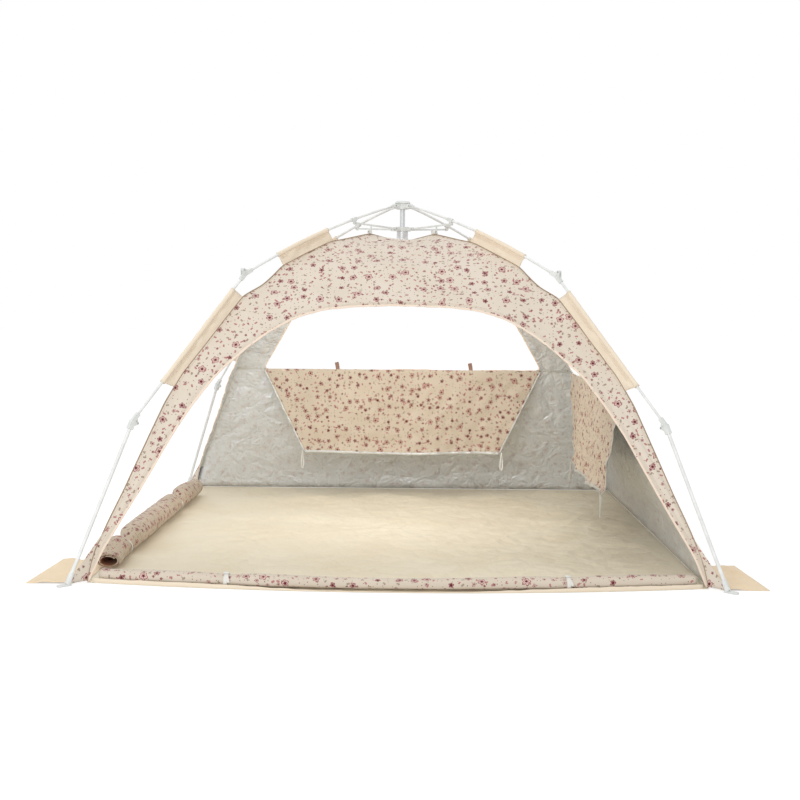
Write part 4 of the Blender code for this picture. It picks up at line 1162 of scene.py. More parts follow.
@dataclass
class Canopy:
    """The four sewn sides of the shelter with their bindings, seams, piping and tails."""

    finishes: Finishes
    thickness: float = 0.0012
    binding_width: float = 0.0078
    window_low: float = 0.63
    window_high: float = 0.98
    window_low_half: float = 0.68
    window_high_half: float = 0.46
    window_corner: float = 0.03
    door_half: float = 1.046
    door_height: float = 0.951
    cloth_low: float = 0.006
    tail_top: float = 0.17
    tail_toe: float = 0.024
    tail_reach: float = 1.556
    clip_reach: float = 0.188
    clip_height: float = 1.2425
    profile: Profile = field(default_factory=Profile)
    panels: dict[Facing, Panel] = field(default_factory=dict)

    def __post_init__(self) -> None:
        """Works out the four panels."""
        arch, window = self.arch(), self.window()
        middle = (0.0, float(self.profile.up_to(np.array(0.8))))
        settings = {
            Facing.FRONT: (0.75, 0.0, arch, (0.0, 0.0), True),
            Facing.LEFT: (0.8, 0.25, arch, (0.0, 0.0), True),
            Facing.REAR: (0.9, 1.0, window, middle, False),
            Facing.RIGHT: (0.9, 1.0, window, middle, False),
        }
        for number, (facing, (loose, crumple, edge, centre, door)) in enumerate(settings.items()):
            rings = 30 if door else 24
            self.panels[facing] = Panel(facing, self.profile, loose, crumple, edge, centre, door,
                                        11 + 10 * number, rings)

    def arch(self) -> np.ndarray:
        """The door opening's edge on the flat cloth, from its left foot over to its right foot.

        Returns:
            Flat points, one a row.
        """
        shares = np.array(DOOR_SHARES)
        half = np.stack((self.door_half * shares[:, 0], self.door_height * shares[:, 1]), axis=1)
        whole = np.concatenate((half * (-1, 1), half[-2::-1]))
        line = rounded(whole, 600, 0.05)
        line[:, 1] = self.profile.up_to(np.maximum(line[:, 1], 0.0038))
        return line

    def window(self) -> np.ndarray:
        """The window's edge on the flat cloth, anticlockwise and closed.

        Returns:
            Flat points, one a row.
        """
        low, high = self.profile.up_to(np.array((self.window_low, self.window_high)))
        corners = np.array((
            (-self.window_low_half, low), (self.window_low_half, low),
            (self.window_high_half, high), (-self.window_high_half, high),
        ))
        line = []
        for index, corner in enumerate(corners):
            before = unit(corners[index - 1] - corner) * self.window_corner
            after = unit(corners[(index + 1) % 4] - corner) * self.window_corner
            for share in np.linspace(0.0, 1.0, 9):
                line.append(corner + before * (1 - share) ** 2 + after * share ** 2)
        middle = (line[-1] + line[0]) / 2
        return np.array([middle, *line, middle])

    def cloth(self) -> bpy.types.Object:
        """The four panels as one sewn sheet, printed outside and silver inside.

        Returns:
            The cloth.
        """
        points, faces, uvs = [], [], []
        start = 0
        for number, panel in enumerate(self.panels.values()):
            flat = panel.flat_grid()
            rings, count = flat.shape[:2]
            points.append(panel.place(flat[..., 0], flat[..., 1]).reshape(-1, 3))
            places = flat.reshape(-1, 2) + (number * 2.3, 0.0)
            columns = count - 1 if panel.is_door else count
            for i in range(rings - 1):
                for j in range(columns):
                    k = (j + 1) % count
                    corners = (i * count + j, (i + 1) * count + j, (i + 1) * count + k, i * count + k)
                    faces.append(tuple(start + c for c in corners[::-1]))
                    uvs.extend(places[c] for c in corners[::-1])
            start += rings * count
        materials = [self.finishes.print, self.finishes.silver, self.finishes.binding]
        obj = mesh_object("canopy_cloth", np.concatenate(points), faces, np.array(uvs), materials,
                          closed=False)
        mesh = obj.data
        middle = mesh.polygons[len(mesh.polygons) // 9]
        if middle.normal.dot(middle.center) < 0:
            mesh.flip_normals()
        solid = obj.modifiers.new("Cloth thickness", "SOLIDIFY")
        solid.thickness = self.thickness
        solid.offset = -1.0
        solid.material_offset = 1
        solid.material_offset_rim = 2
        return obj

    def line_on(self, panel: Panel, flat: np.ndarray, lift: float) -> tuple[np.ndarray, np.ndarray]:
        """A flat line set on the cloth, and the direction across it in the cloth.

        Args:
            panel: The side that carries the line.
            flat: The line's flat points.
            lift: How far outside the cloth it stands.

        Returns:
            The points, and the direction to the line's left at each.
        """
        way = directions(flat)
        left = np.stack((-way[:, 1], way[:, 0]), axis=1) * 0.002
        spot = panel.place(flat[:, 0], flat[:, 1], lift)
        beside = panel.place(flat[:, 0] + left[:, 0], flat[:, 1] + left[:, 1], lift)
        return spot, unit(beside - spot)

    def bindings(self) -> list[bpy.types.Object]:
        """The folded binding round each door arch and each window.

        Returns:
            The bindings.
        """
        made = []
        for panel in self.panels.values():
            name = panel.facing.name.lower()
            count = 300 if panel.is_door else 340
            edge = respaced(panel.opening, count)
            if not panel.is_door:
                edge = edge[:-1]
            spot, across = self.line_on(panel, edge, -self.thickness / 2)
            sign = 1.0 if panel.is_door else -1.0
            shifted = spot + across * sign * self.binding_width * 0.32
            width = self.binding_width if panel.is_door else self.binding_width * 0.8
            made.append(strip(f"{name}_opening_binding", shifted, across, width, 0.0032,
                              self.finishes.binding, cyclic=not panel.is_door))
        return made

    def ridge_piping(self) -> list[bpy.types.Object]:
        """The cord sewn into each ridge seam.

        Returns:
            The four cords.
        """
        made = []
        v = np.linspace(0.004, self.profile.length - 0.004, 150)
        for corner in Corner:
            reach = self.profile.width(v) * RIDGE_REACH + 0.0006
            height = np.interp(v, self.profile.v, self.profile.z) + 0.0006
            made.append(tube(f"ridge_piping_{corner.name}", corner.place(reach, height), 0.0021,
                             self.finishes.piping, 10))
        return made

    def wall_seams(self) -> list[bpy.types.Object]:
        """The taped seams inside the rear and right walls, beside the windows' lower edges.

        Returns:
            The four tapes.
        """
        made = []
        v = float(self.profile.up_to(np.array(self.window_low)))
        reach = float(self.profile.width(np.array(v)))
        for facing in (Facing.REAR, Facing.RIGHT):
            panel = self.panels[facing]
            for side in (-1, 1):
                x = np.linspace(self.window_low_half + 0.012, reach - 0.006, 24) * side
                flat = np.stack((x, np.full(24, v)), axis=1)
                spot, across = self.line_on(panel, flat, -self.thickness - 0.0007)
                made.append(strip(f"{facing.name.lower()}_wall_seam_{'right' if side > 0 else 'left'}",
                                  spot, across, 0.012, 0.0014, self.finishes.silver_edge))
        return made

    def tails(self) -> list[bpy.types.Object]:
        """The printed web from each lower corner of the canopy to its foot.

        Returns:
            The four webs.
        """
        made = []
        for corner in Corner:
            heights = np.linspace(self.tail_top, self.cloth_low, 14)
            seam = self.profile.width(self.profile.up_to(heights)) * RIDGE_REACH - 0.001
            share = ease(heights, 0.0, self.tail_top)
            rise = (heights - self.tail_toe) / (self.tail_top - self.tail_toe)
            outer = self.tail_reach + (seam[0] - self.tail_reach) * rise
            outer = np.maximum(np.where(heights < self.tail_toe, self.tail_reach, outer), seam + 0.0005)
            across = np.linspace(0.0, 1.0, 9)
            reach = seam[:, None] + (outer - seam)[:, None] * across
            low = np.broadcast_to(np.maximum(heights, self.cloth_low)[:, None], reach.shape)
            side = 0.0028 * np.sin(across * math.pi)[None] * np.sin(heights[:, None] * 46.0) * share[:, None]
            grid = corner.place(reach, low, side)
            turn = math.radians(corner.value)
            facing = np.broadcast_to((-math.sin(turn), math.cos(turn), 0.0), grid.shape)
            flat = np.stack((reach, low), axis=2)
            made.append(leaf(f"corner_tail_{corner.name}", grid, facing, 0.0022,
                             [self.finishes.print] * 2, flat))
        return made

    def roof_tabs(self) -> list[bpy.types.Object]:
        """The white tapes that hang the roof from the clips on the struts.

        Returns:
            The four tapes.
        """
        made = []
        turns = np.linspace(0.0, math.tau, 25)[:-1]
        for corner in Corner:
            height = self.clip_height + 0.0048 + 0.0062 * np.sin(turns)
            ring = corner.place(self.clip_reach, height, 0.0074 * np.cos(turns))
            turn = math.radians(corner.value)
            across = np.broadcast_to((math.cos(turn), math.sin(turn), 0.0), ring.shape)
            made.append(strip(f"roof_tab_{corner.name}", ring, across, 0.012, 0.0012, self.finishes.tape,
                              cyclic=True))
        return made

    def seam_lines(self) -> list[np.ndarray]:
        """The lines that are sewn on the canopy, each a little proud of the cloth.

        Returns:
            Each line's points.
        """
        lines = []
        for panel in self.panels.values():
            if panel.is_door:
                edge = respaced(panel.opening, 420)[4:-4]
                way = directions(edge)
                left = np.stack((-way[:, 1], way[:, 0]), axis=1)
                for inset in (0.0115, 0.0175):
                    flat = edge + left * inset
                    lines.append(panel.place(flat[:, 0], flat[:, 1], 0.0003))
            v = np.linspace(0.03, self.profile.length - 0.03, 260)
            for sign in (-1, 1):
                lines.append(panel.place(sign * (self.profile.width(v) - 0.010), v, 0.0003))
        return lines

    def build(self) -> None:
        """Builds the canopy and lets it ride on the shelter."""
        cloth = self.cloth()
        on_shelter(cloth, Slot.PRINT, "canopy_front", "canopy_rear", "canopy_left", "canopy_right")
        for piece in (*self.bindings(), *self.ridge_piping()):
            on_shelter(piece, Slot.HEM)
        for piece in (*self.wall_seams(), *self.tails(), *self.roof_tabs()):
            on_shelter(piece, Slot.PRINT)
        on_shelter(stitched("canopy_stitches", self.seam_lines(), self.finishes.thread), Slot.HEM)


# Repeated small pieces, by Geometry Nodes


class Repeater(Graph):
    """A Geometry Nodes tree that sets one small shape many times, then makes it real."""

    def __init__(self, name: str) -> None:
        """Starts a tree with a geometry input and output.

        Args:
            name: The tree's name.
        """
        self.tree = bpy.data.node_groups.new(name, "GeometryNodeTree")
        self.tree.interface.new_socket("Geometry", in_out="INPUT", socket_type="NodeSocketGeometry")
        self.tree.interface.new_socket("Geometry", in_out="OUTPUT", socket_type="NodeSocketGeometry")
        self.entry = self.tree.nodes.new("NodeGroupInput")
        self.values: dict[str, object] = {}

    def size(self, name: str, value: float) -> Socket:
        """Adds a named size to the tree's inputs.

        Args:
            name: The size's name.
            value: Its value in metres.

        Returns:
            Its socket inside the tree.
        """
        made = self.tree.interface.new_socket(name, in_out="INPUT", socket_type="NodeSocketFloat")
        made.default_value = value
        self.values[made.identifier] = value
        return self.entry.outputs[name]

    def link(self, source: Socket, target: Socket) -> None:
        """Links two sockets."""
        self.tree.links.new(source, target)

    def close(self, instances: Socket, material: bpy.types.Material) -> None:
        """Ends the tree in real geometry with its finish.

        Args:
            instances: The socket that carries the instances.
            material: Their finish.
        """
        real = self.node("GeometryNodeRealizeInstances")
        dressed = self.node("GeometryNodeSetMaterial")
        dressed.inputs["Material"].default_value = material
        leave = self.node("NodeGroupOutput")
        self.link(instances, real.inputs[0])
        self.link(real.outputs[0], dressed.inputs["Geometry"])
        self.link(dressed.outputs[0], leave.inputs[0])

    def run(self, name: str, seed_mesh: bpy.types.Mesh, material: bpy.types.Material) -> bpy.types.Object:
        """Runs the tree on a mesh and keeps the result as a plain mesh.

        Args:
            name: The new object's name.
            seed_mesh: The points or lines that the tree works on.
            material: The finish of the result.

        Returns:
            The new object, with no modifier.
        """
        carrier = bpy.data.objects.new(f"{name}_guide", seed_mesh)
        bpy.context.scene.collection.objects.link(carrier)
        modifier = carrier.modifiers.new("Repeat", "NODES")
        modifier.node_group = self.tree
        for identifier, value in self.values.items():
            modifier[identifier] = value
        bpy.context.view_layer.update()
        graph = bpy.context.evaluated_depsgraph_get()
        mesh = bpy.data.meshes.new_from_object(carrier.evaluated_get(graph))
        bpy.data.objects.remove(carrier, do_unlink=True)
        mesh.name = name
        mesh.materials.clear()
        mesh.materials.append(material)
        while mesh.uv_layers:
            mesh.uv_layers.remove(mesh.uv_layers[0])
        layer = mesh.uv_layers.new(name="Cloth")
        spots = np.empty(len(mesh.vertices) * 3, np.float32)
        mesh.vertices.foreach_get("co", spots)
        corners = np.empty(len(mesh.loops), np.int32)
        mesh.loops.foreach_get("vertex_index", corners)
        spots = spots.reshape(-1, 3)[corners]
        layer.data.foreach_set("uv", np.stack((spots[:, 0] + spots[:, 1], spots[:, 2]), axis=1).ravel())
        mesh.polygons.foreach_set("use_smooth", np.ones(len(mesh.polygons), bool))
        obj = bpy.data.objects.new(name, mesh)
        bpy.context.scene.collection.objects.link(obj)
        return obj


def stitched(name: str, lines: list[np.ndarray], material: bpy.types.Material, pitch: float = 0.008,
             length: float = 0.0052, radius: float = 0.00045) -> bpy.types.Object:
    """A row of thread stitches along each line.

    Args:
        name: The object's name.
        lines: The lines' points.
        material: The thread's finish.
        pitch: The distance from one stitch to the next.
        length: The length of a stitch.
        radius: The thread's radius.

    Returns:
        All the stitches as one mesh.
    """
    work = Repeater(f"{name}_row")
    pitch_in, length_in, radius_in = (work.size(n, v) for n, v in
                                      (("Pitch", pitch), ("Length", length), ("Radius", radius)))
    curve = work.node("GeometryNodeMeshToCurve")
    points = work.node("GeometryNodeCurveToPoints", mode="LENGTH")
    turn = work.node("FunctionNodeAlignRotationToVector", axis="Z")
    thread = work.node("GeometryNodeMeshCylinder", fill_type="TRIANGLE_FAN")
    thread.inputs["Vertices"].default_value = 5
    spread = work.node("GeometryNodeInstanceOnPoints")
    work.link(work.entry.outputs["Geometry"], curve.inputs["Mesh"])
    work.link(curve.outputs[0], points.inputs["Curve"])
    work.link(pitch_in, points.inputs["Length"])
    work.link(points.outputs["Tangent"], turn.inputs["Vector"])
    work.link(length_in, thread.inputs["Depth"])
    work.link(radius_in, thread.inputs["Radius"])
    work.link(points.outputs["Points"], spread.inputs["Points"])
    work.link(thread.outputs["Mesh"], spread.inputs["Instance"])
    work.link(turn.outputs[0], spread.inputs["Rotation"])
    work.close(spread.outputs[0], material)
    mesh = bpy.data.meshes.new(f"{name}_lines")
    edges, start = [], 0
    for line in lines:
        edges += [(start + i, start + i + 1) for i in range(len(line) - 1)]
        start += len(line)
    mesh.from_pydata([tuple(p) for p in np.concatenate(lines)], edges, [])
    return work.run(name, mesh, material)


def riveted(name: str, spots: np.ndarray, ways: np.ndarray, material: bpy.types.Material,
            radius: float = 0.0036, height: float = 0.0016) -> bpy.types.Object:
    """A domed rivet head at each spot.

    Args:
        name: The object's name.
        spots: The middles of the heads.
        ways: The direction that each head looks to.
        material: Their finish.
        radius: The head's radius.
        height: How far it stands proud.

    Returns:
        All the heads as one mesh.
    """
    work = Repeater(f"{name}_set")
    radius_in, height_in = work.size("Radius", radius), work.size("Height", height)
    ball = work.node("GeometryNodeMeshUVSphere")
    ball.inputs["Segments"].default_value = 14
    ball.inputs["Rings"].default_value = 8
    ball.inputs["Radius"].default_value = 1.0
    size = work.node("ShaderNodeCombineXYZ")
    turn = work.node("FunctionNodeAlignRotationToVector", axis="Z")
    facing = work.node("GeometryNodeInputNamedAttribute", data_type="FLOAT_VECTOR")
    facing.inputs["Name"].default_value = "facing"
    points = work.node("GeometryNodeMeshToPoints")
    spread = work.node("GeometryNodeInstanceOnPoints")
    work.link(radius_in, size.inputs[0])
    work.link(radius_in, size.inputs[1])
    work.link(height_in, size.inputs[2])
    work.link(work.entry.outputs["Geometry"], points.inputs["Mesh"])
    work.link(points.outputs[0], spread.inputs["Points"])
    work.link(facing.outputs["Attribute"], turn.inputs["Vector"])
    work.link(turn.outputs[0], spread.inputs["Rotation"])
    work.link(ball.outputs["Mesh"], spread.inputs["Instance"])
    work.link(size.outputs[0], spread.inputs["Scale"])
    work.close(spread.outputs[0], material)
    mesh = bpy.data.meshes.new(f"{name}_spots")
    mesh.from_pydata([tuple(p) for p in spots], [], [])
    attribute = mesh.attributes.new("facing", "FLOAT_VECTOR", "POINT")
    attribute.data.foreach_set("vector", np.asarray(ways, np.float32).ravel())
    return work.run(name, mesh, material)


# Frame


@dataclass
class FoldingFrame:
    """The hub, its runner, and four legs with elbows, struts, sleeves and feet."""

    finishes: Finishes
    canopy: Canopy
    hub: tuple[float, float] = (0.046, 1.362)
    runner: tuple[float, float] = (0.050, 1.267)
    upper_elbow: tuple[float, float] = (0.822, 1.064)
    lower_elbow: tuple[float, float] = (1.312, 0.543)
    upper_pivot: tuple[float, float] = (0.832923, 1.078659)
    lower_pivot: tuple[float, float] = (1.298001, 0.533363)
    bow: float = 0.023
    sleeve_radius: float = 0.0082
    arm_sleeve: tuple[float, float] = (0.417, 0.667)
    arm_seam: tuple[float, float] = (0.387, 0.64)
    mid_sleeve: tuple[float, float] = (0.878, 1.191)
    mid_seam: tuple[float, float] = (0.833, 1.14)
    crease_degrees: float = 38.0

    def dressed(self, node: str, material: bpy.types.Material, slot: Slot, bevel: float) -> bpy.types.Object:
        """A welded copy of a node with smooth round faces and softened edges, in its place.

        Args:
            node: The node's name.
            material: Its finish.
            slot: Its material slot.
            bevel: The radius of its softened edges.

        Returns:
            The copy.
        """
        mesh = frame["nodes"][node].data.copy()
        mesh.name = f"{node}_dressed"
        form = bmesh.new()
        form.from_mesh(mesh)
        bmesh.ops.remove_doubles(form, verts=form.verts, dist=0.000004)
        bmesh.ops.dissolve_limit(form, angle_limit=math.radians(0.6), verts=form.verts, edges=form.edges)
        form.to_mesh(mesh)
        form.free()
        mesh.materials.clear()
        mesh.materials.append(material)
        mesh.polygons.foreach_set("use_smooth", np.ones(len(mesh.polygons), bool))
        mesh.set_sharp_from_angle(angle=math.radians(self.crease_degrees))
        obj = bpy.data.objects.new(f"{node}_dressed", mesh)
        bpy.context.scene.collection.objects.link(obj)
        if bevel:
            soft = obj.modifiers.new("Soft edges", "BEVEL")
            soft.width = bevel
            soft.segments = 2
            soft.limit_method = "ANGLE"
            soft.angle_limit = math.radians(self.crease_degrees)
        return on_body(obj, slot, BODY_OF[node], node)

    def hard_parts(self) -> None:
        """Dresses every rigid node."""
        rod = (self.finishes.rod, Slot.ROD, 0.0)
        look = {
            "arm_pole": rod,
            "mid_pole": rod,
            "leg_pole": rod,
            "hub_rod": (self.finishes.metal, Slot.METAL, 0.0003),
            "runner_tube": (self.finishes.metal, Slot.METAL, 0.0004),
        }
        plain = (self.finishes.plastic, Slot.PLASTIC, 0.0005)
        soft_slots = {Slot.PRINT.value, Slot.ROLL.value, Slot.FLOOR.value, Slot.FLAP.value, Slot.HEM.value}
        for part in frame["record"]["subparts"]:
            if part["material_slot"] in soft_slots:
                continue
            stem = part["node"]
            for corner in Corner:
                stem = stem.replace(f"_{corner.name}", "")
            self.dressed(part["node"], *look.get(stem, plain))

    def arm_line(self) -> np.ndarray:
        """The bowed line of an arm in its leg's plane, as reach and height.

        Returns:
            The line's points.
        """
        start, end = np.array(self.hub), np.array(self.upper_elbow)
        way = unit(end - start)
        share = np.linspace(0.0, 1.0, 60)[:, None]
        rise = np.array((-way[1], way[0])) * 4 * self.bow * share * (1 - share)
        return start + (end - start) * share + rise

    def mid_line(self) -> np.ndarray:
        """The straight line of a middle pole in its leg's plane."""
        share = np.linspace(0.0, 1.0, 60)[:, None]
        return np.array(self.upper_elbow) * (1 - share) + np.array(self.lower_elbow) * share

    def sleeve(self, corner: Corner, stem: str, line: np.ndarray, rod: tuple[float, float],
               seam: tuple[float, float], seed: int) -> None:
        """One sleeve: the channel round the rod, and the web of cloth from it to the ridge.

        Args:
            corner: The leg.
            stem: The rod's body, arm or mid.
            line: The rod's line in the leg's plane.
            rod: The reach at which the sleeve starts and ends.
            seam: The reach at which its seam on the ridge starts and ends.
            seed: The seed of its unevenness.
        """
        reach = np.linspace(*rod, 40)
        core = np.stack((reach, np.interp(reach, line[:, 0], line[:, 1])), axis=1)
        along = lengths(core)
        uneven = Ripples(0.02, 0.07, seed).at(along, along * 0.0)
        ends = 0.0012 * (np.exp(-along / 0.006) + np.exp(-(along[-1] - along) / 0.006))
        channel = tube(f"{stem}_sleeve_{corner.name}", corner.place(core[:, 0], core[:, 1]),
                       self.sleeve_radius + 0.0005 * uneven + ends, self.finishes.peach, 18)
        on_body(channel, Slot.HEM, f"{stem}_{corner.name}")
        form = self.canopy.profile
        ridge = np.linspace(*seam, 40)
        low = np.stack((ridge, np.interp(ridge / RIDGE_REACH, form.w[::-1], form.z[::-1])), axis=1)
        inward = unit(low.mean(axis=0) - core.mean(axis=0))
        top = core + inward * (self.sleeve_radius - 0.0016)
        share = np.linspace(0.0, 1.0, 12)
        flat = top[:, None] * (1 - share)[None, :, None] + low[:, None] * share[None, :, None]
        billow = Ripples(0.05, 0.2, seed + 1).at(flat[..., 0], flat[..., 1]) * np.sin(share * math.pi)
        grid = corner.place(flat[..., 0], flat[..., 1], 0.0022 * billow)
        turn = math.radians(corner.value)
        facing = np.broadcast_to((-math.sin(turn), math.cos(turn), 0.0), grid.shape)
        web = leaf(f"{stem}_sleeve_web_{corner.name}", grid, facing, 0.0024, [self.finishes.peach] * 2, flat)
        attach(web, f"{stem}_{corner.name}")
        out = corner.place(-inward[0], -inward[1])
        anchor = corner.place(core[:, 0].mean(), core[:, 1].mean())
        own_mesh(web)
        lines = []
        for offset in (self.sleeve_radius + 0.006, self.sleeve_radius + 0.012):
            run = core + inward * offset
            for side in (-0.0022, 0.0022):
                lines.append(corner.place(run[1:-1, 0], run[1:-1, 1], side))
        threads = stitched(f"{stem}_sleeve_stitches_{corner.name}", lines, self.finishes.thread)
        on_body(threads, Slot.HEM, f"{stem}_{corner.name}")

    def rivets(self) -> None:
        """The rivet heads at every hinge, one mesh for each body."""
        spots = {"hub": (self.hub, (-0.0090, 0.0090)), "runner": (self.runner, (0.0027, 0.0155))}
        for body, (pivot, sides) in spots.items():
            middles, ways = [], []
            for corner in Corner:
                for sign, side in zip((-1.0, 1.0), sides):
                    middles.append(corner.place(*pivot, side))
                    ways.append(corner.place(0.0, 0.0, sign))
            heads = riveted(f"{body}_rivets", np.array(middles), np.array(ways), self.finishes.steel)
            on_body(heads, Slot.METAL, body)
        for corner in Corner:
            for stem, pivot in (("mid", self.upper_pivot), ("leg", self.lower_pivot)):
                middles = np.array([corner.place(*pivot, sign * 0.0080) for sign in (-1, 1)])
                ways = np.array([corner.place(0.0, 0.0, float(sign)) for sign in (-1, 1)])
                heads = riveted(f"{stem}_rivets_{corner.name}", middles, ways, self.finishes.steel,
                                radius=0.0034, height=0.0012)
                on_body(heads, Slot.METAL, f"{stem}_{corner.name}")

    def build(self) -> None:
        """Builds the frame's pieces."""
        self.hard_parts()
        for number, corner in enumerate(Corner):
            seed = 70 + 10 * number
            self.sleeve(corner, "arm", self.arm_line(), self.arm_sleeve, self.arm_seam, seed)
            self.sleeve(corner, "mid", self.mid_line(), self.mid_sleeve, self.mid_seam, seed + 5)
        self.rivets()


# Floor

# The sand flaps' two long edges on the ground, from the rear to the front
SAND_FLAP_INNER = ((1.062, -0.74), (1.062, -1.0), (1.108, -1.085))
SAND_FLAP_OUTER = ((1.243, -0.70), (1.262, -1.085))


@dataclass
class Floor:
    """The floor sheet with its bowed front edge, the sill in front of it, and the two sand flaps."""

    finishes: Finishes
    half: float = FLOOR_HALF
    bow: float = FRONT_BOW
    thickness: float = 0.0016
    wrinkle: float = 0.021

    def front_edge(self, x: np.ndarray) -> np.ndarray:
        """The y of the front edge at each x."""
        return -self.half - FLOOR_SEAM - self.bow * (1 - (x / self.half) ** 2)

    def wrinkles(self, x: np.ndarray, y: np.ndarray) -> np.ndarray:
        """The height of the sheet's folds over the ground, never under it.

        Args:
            x: First coordinates on the ground.
            y: Second coordinates.

        Returns:
            One height for each point.
        """
        edge = np.minimum(self.half - np.abs(x), np.minimum(self.half - y, y - self.front_edge(x)))
        quiet = ease(edge, 0.0, 0.12) * ease(x + 0.86, 0.0, 0.14)
        big = np.maximum(Ripples(0.25, 0.8, 5).at(x, y), 0.0) * 0.35
        along, over = 0.8 * x + 0.6 * y, 0.8 * y - 0.6 * x
        creased = np.maximum(Ripples(0.10, 0.32, 6).creased(along * 0.4, over), 0.0) * 0.55
        fine = np.maximum(Ripples(0.05, 0.12, 7).creased(x, y), 0.0) * 0.22
        return self.wrinkle * np.clip(big + creased + fine, 0.0, 1.0) * quiet

    def sheet(self) -> bpy.types.Object:
        """The floor sheet.

        Returns:
            The sheet.
        """
        count = 150
        across = np.linspace(-1.0, 1.0, count)
        depth = np.linspace(0.0, 1.0, count)
        x = np.broadcast_to(across * self.half, (count, count))
        front = self.front_edge(across * self.half)
        y = front[None] + (self.half + FLOOR_SEAM - front)[None] * depth[:, None]
        z = 0.0004 + self.thickness / 2 + self.wrinkles(x, y)
        grid = np.stack((x, y, z), axis=2)
        facing = np.broadcast_to(UP, grid.shape)
        return leaf("floor_cloth_sheet", grid, facing, self.thickness, [self.finishes.floor] * 2,
                    np.stack((x, y), axis=2))

    def sand_flap(self, sign: int) -> bpy.types.Object:
        """The peach flap on the ground beside a front corner.

        Args:
            sign: 1 for the right corner and -1 for the left one.

        Returns:
            The flap.
        """
        inner = respaced(np.array(SAND_FLAP_INNER), 40)
        outer = respaced(np.array(SAND_FLAP_OUTER), 40)
        share = np.linspace(0.0, 1.0, 24)
        flat = inner[:, None] * (1 - share)[None, :, None] + outer[:, None] * share[None, :, None]
        x, y = flat[..., 0] * sign, flat[..., 1]
        edge = np.sin(share * math.pi)[None] ** 0.5
        lift = np.maximum(Ripples(0.06, 0.2, 31 + sign).at(x, y), 0.0) * 0.0045 * edge
        grid = np.stack((x, y, 0.0012 + lift), axis=2)
        name = "right" if sign > 0 else "left"
        return leaf(f"sand_flap_{name}", grid, np.broadcast_to(UP, grid.shape), 0.0014,
                    [self.finishes.sand] * 2, np.stack((x, y), axis=2))

    def sill(self) -> bpy.types.Object:
        """The low peach band that stands along the front edge, in front of the rolled door.

        Returns:
            The band.
        """
        x = np.linspace(-1.04, 1.04, 160)
        y = self.front_edge(x) + 0.0016 + 0.0006 * Ripples(0.03, 0.1, 45).at(x, x * 0)
        top = 0.0034 + 0.0125 * ease(np.abs(x), 0.16, 0.70) + 0.0008 * Ripples(0.04, 0.15, 44).at(x, x * 0)
        share = np.linspace(0.0, 1.0, 6)
        height = 0.0006 + (top[:, None] - 0.0006) * share
        lean = y[:, None] - 0.0012 * np.sin(share * math.pi)
        grid = np.stack((np.broadcast_to(x[:, None], height.shape), lean, height), axis=2)
        facing = np.broadcast_to((0.0, -1.0, 0.0), grid.shape)
        return leaf("sill_band", grid, facing, 0.0018, [self.finishes.peach] * 2, grid[..., (0, 2)])

    def build(self) -> None:
        """Builds the floor's pieces."""
        sheet = self.sheet()
        flaps = [self.sand_flap(sign) for sign in (-1, 1)]
        on_shelter(sheet, Slot.FLOOR, "floor_sheet", soft=False)
        x = np.linspace(-self.half, self.half, 400)
        for flap in flaps:
            on_shelter(flap, Slot.FLOOR, soft=False)
        on_shelter(self.sill(), Slot.HEM, soft=False)
        edge = np.stack((x, self.front_edge(x) + 0.014, np.full(400, 0.0026)), axis=1)
        on_shelter(stitched("floor_stitches", [edge[20:-20]], self.finishes.thread), Slot.FLOOR, soft=False)


# Rolled doors


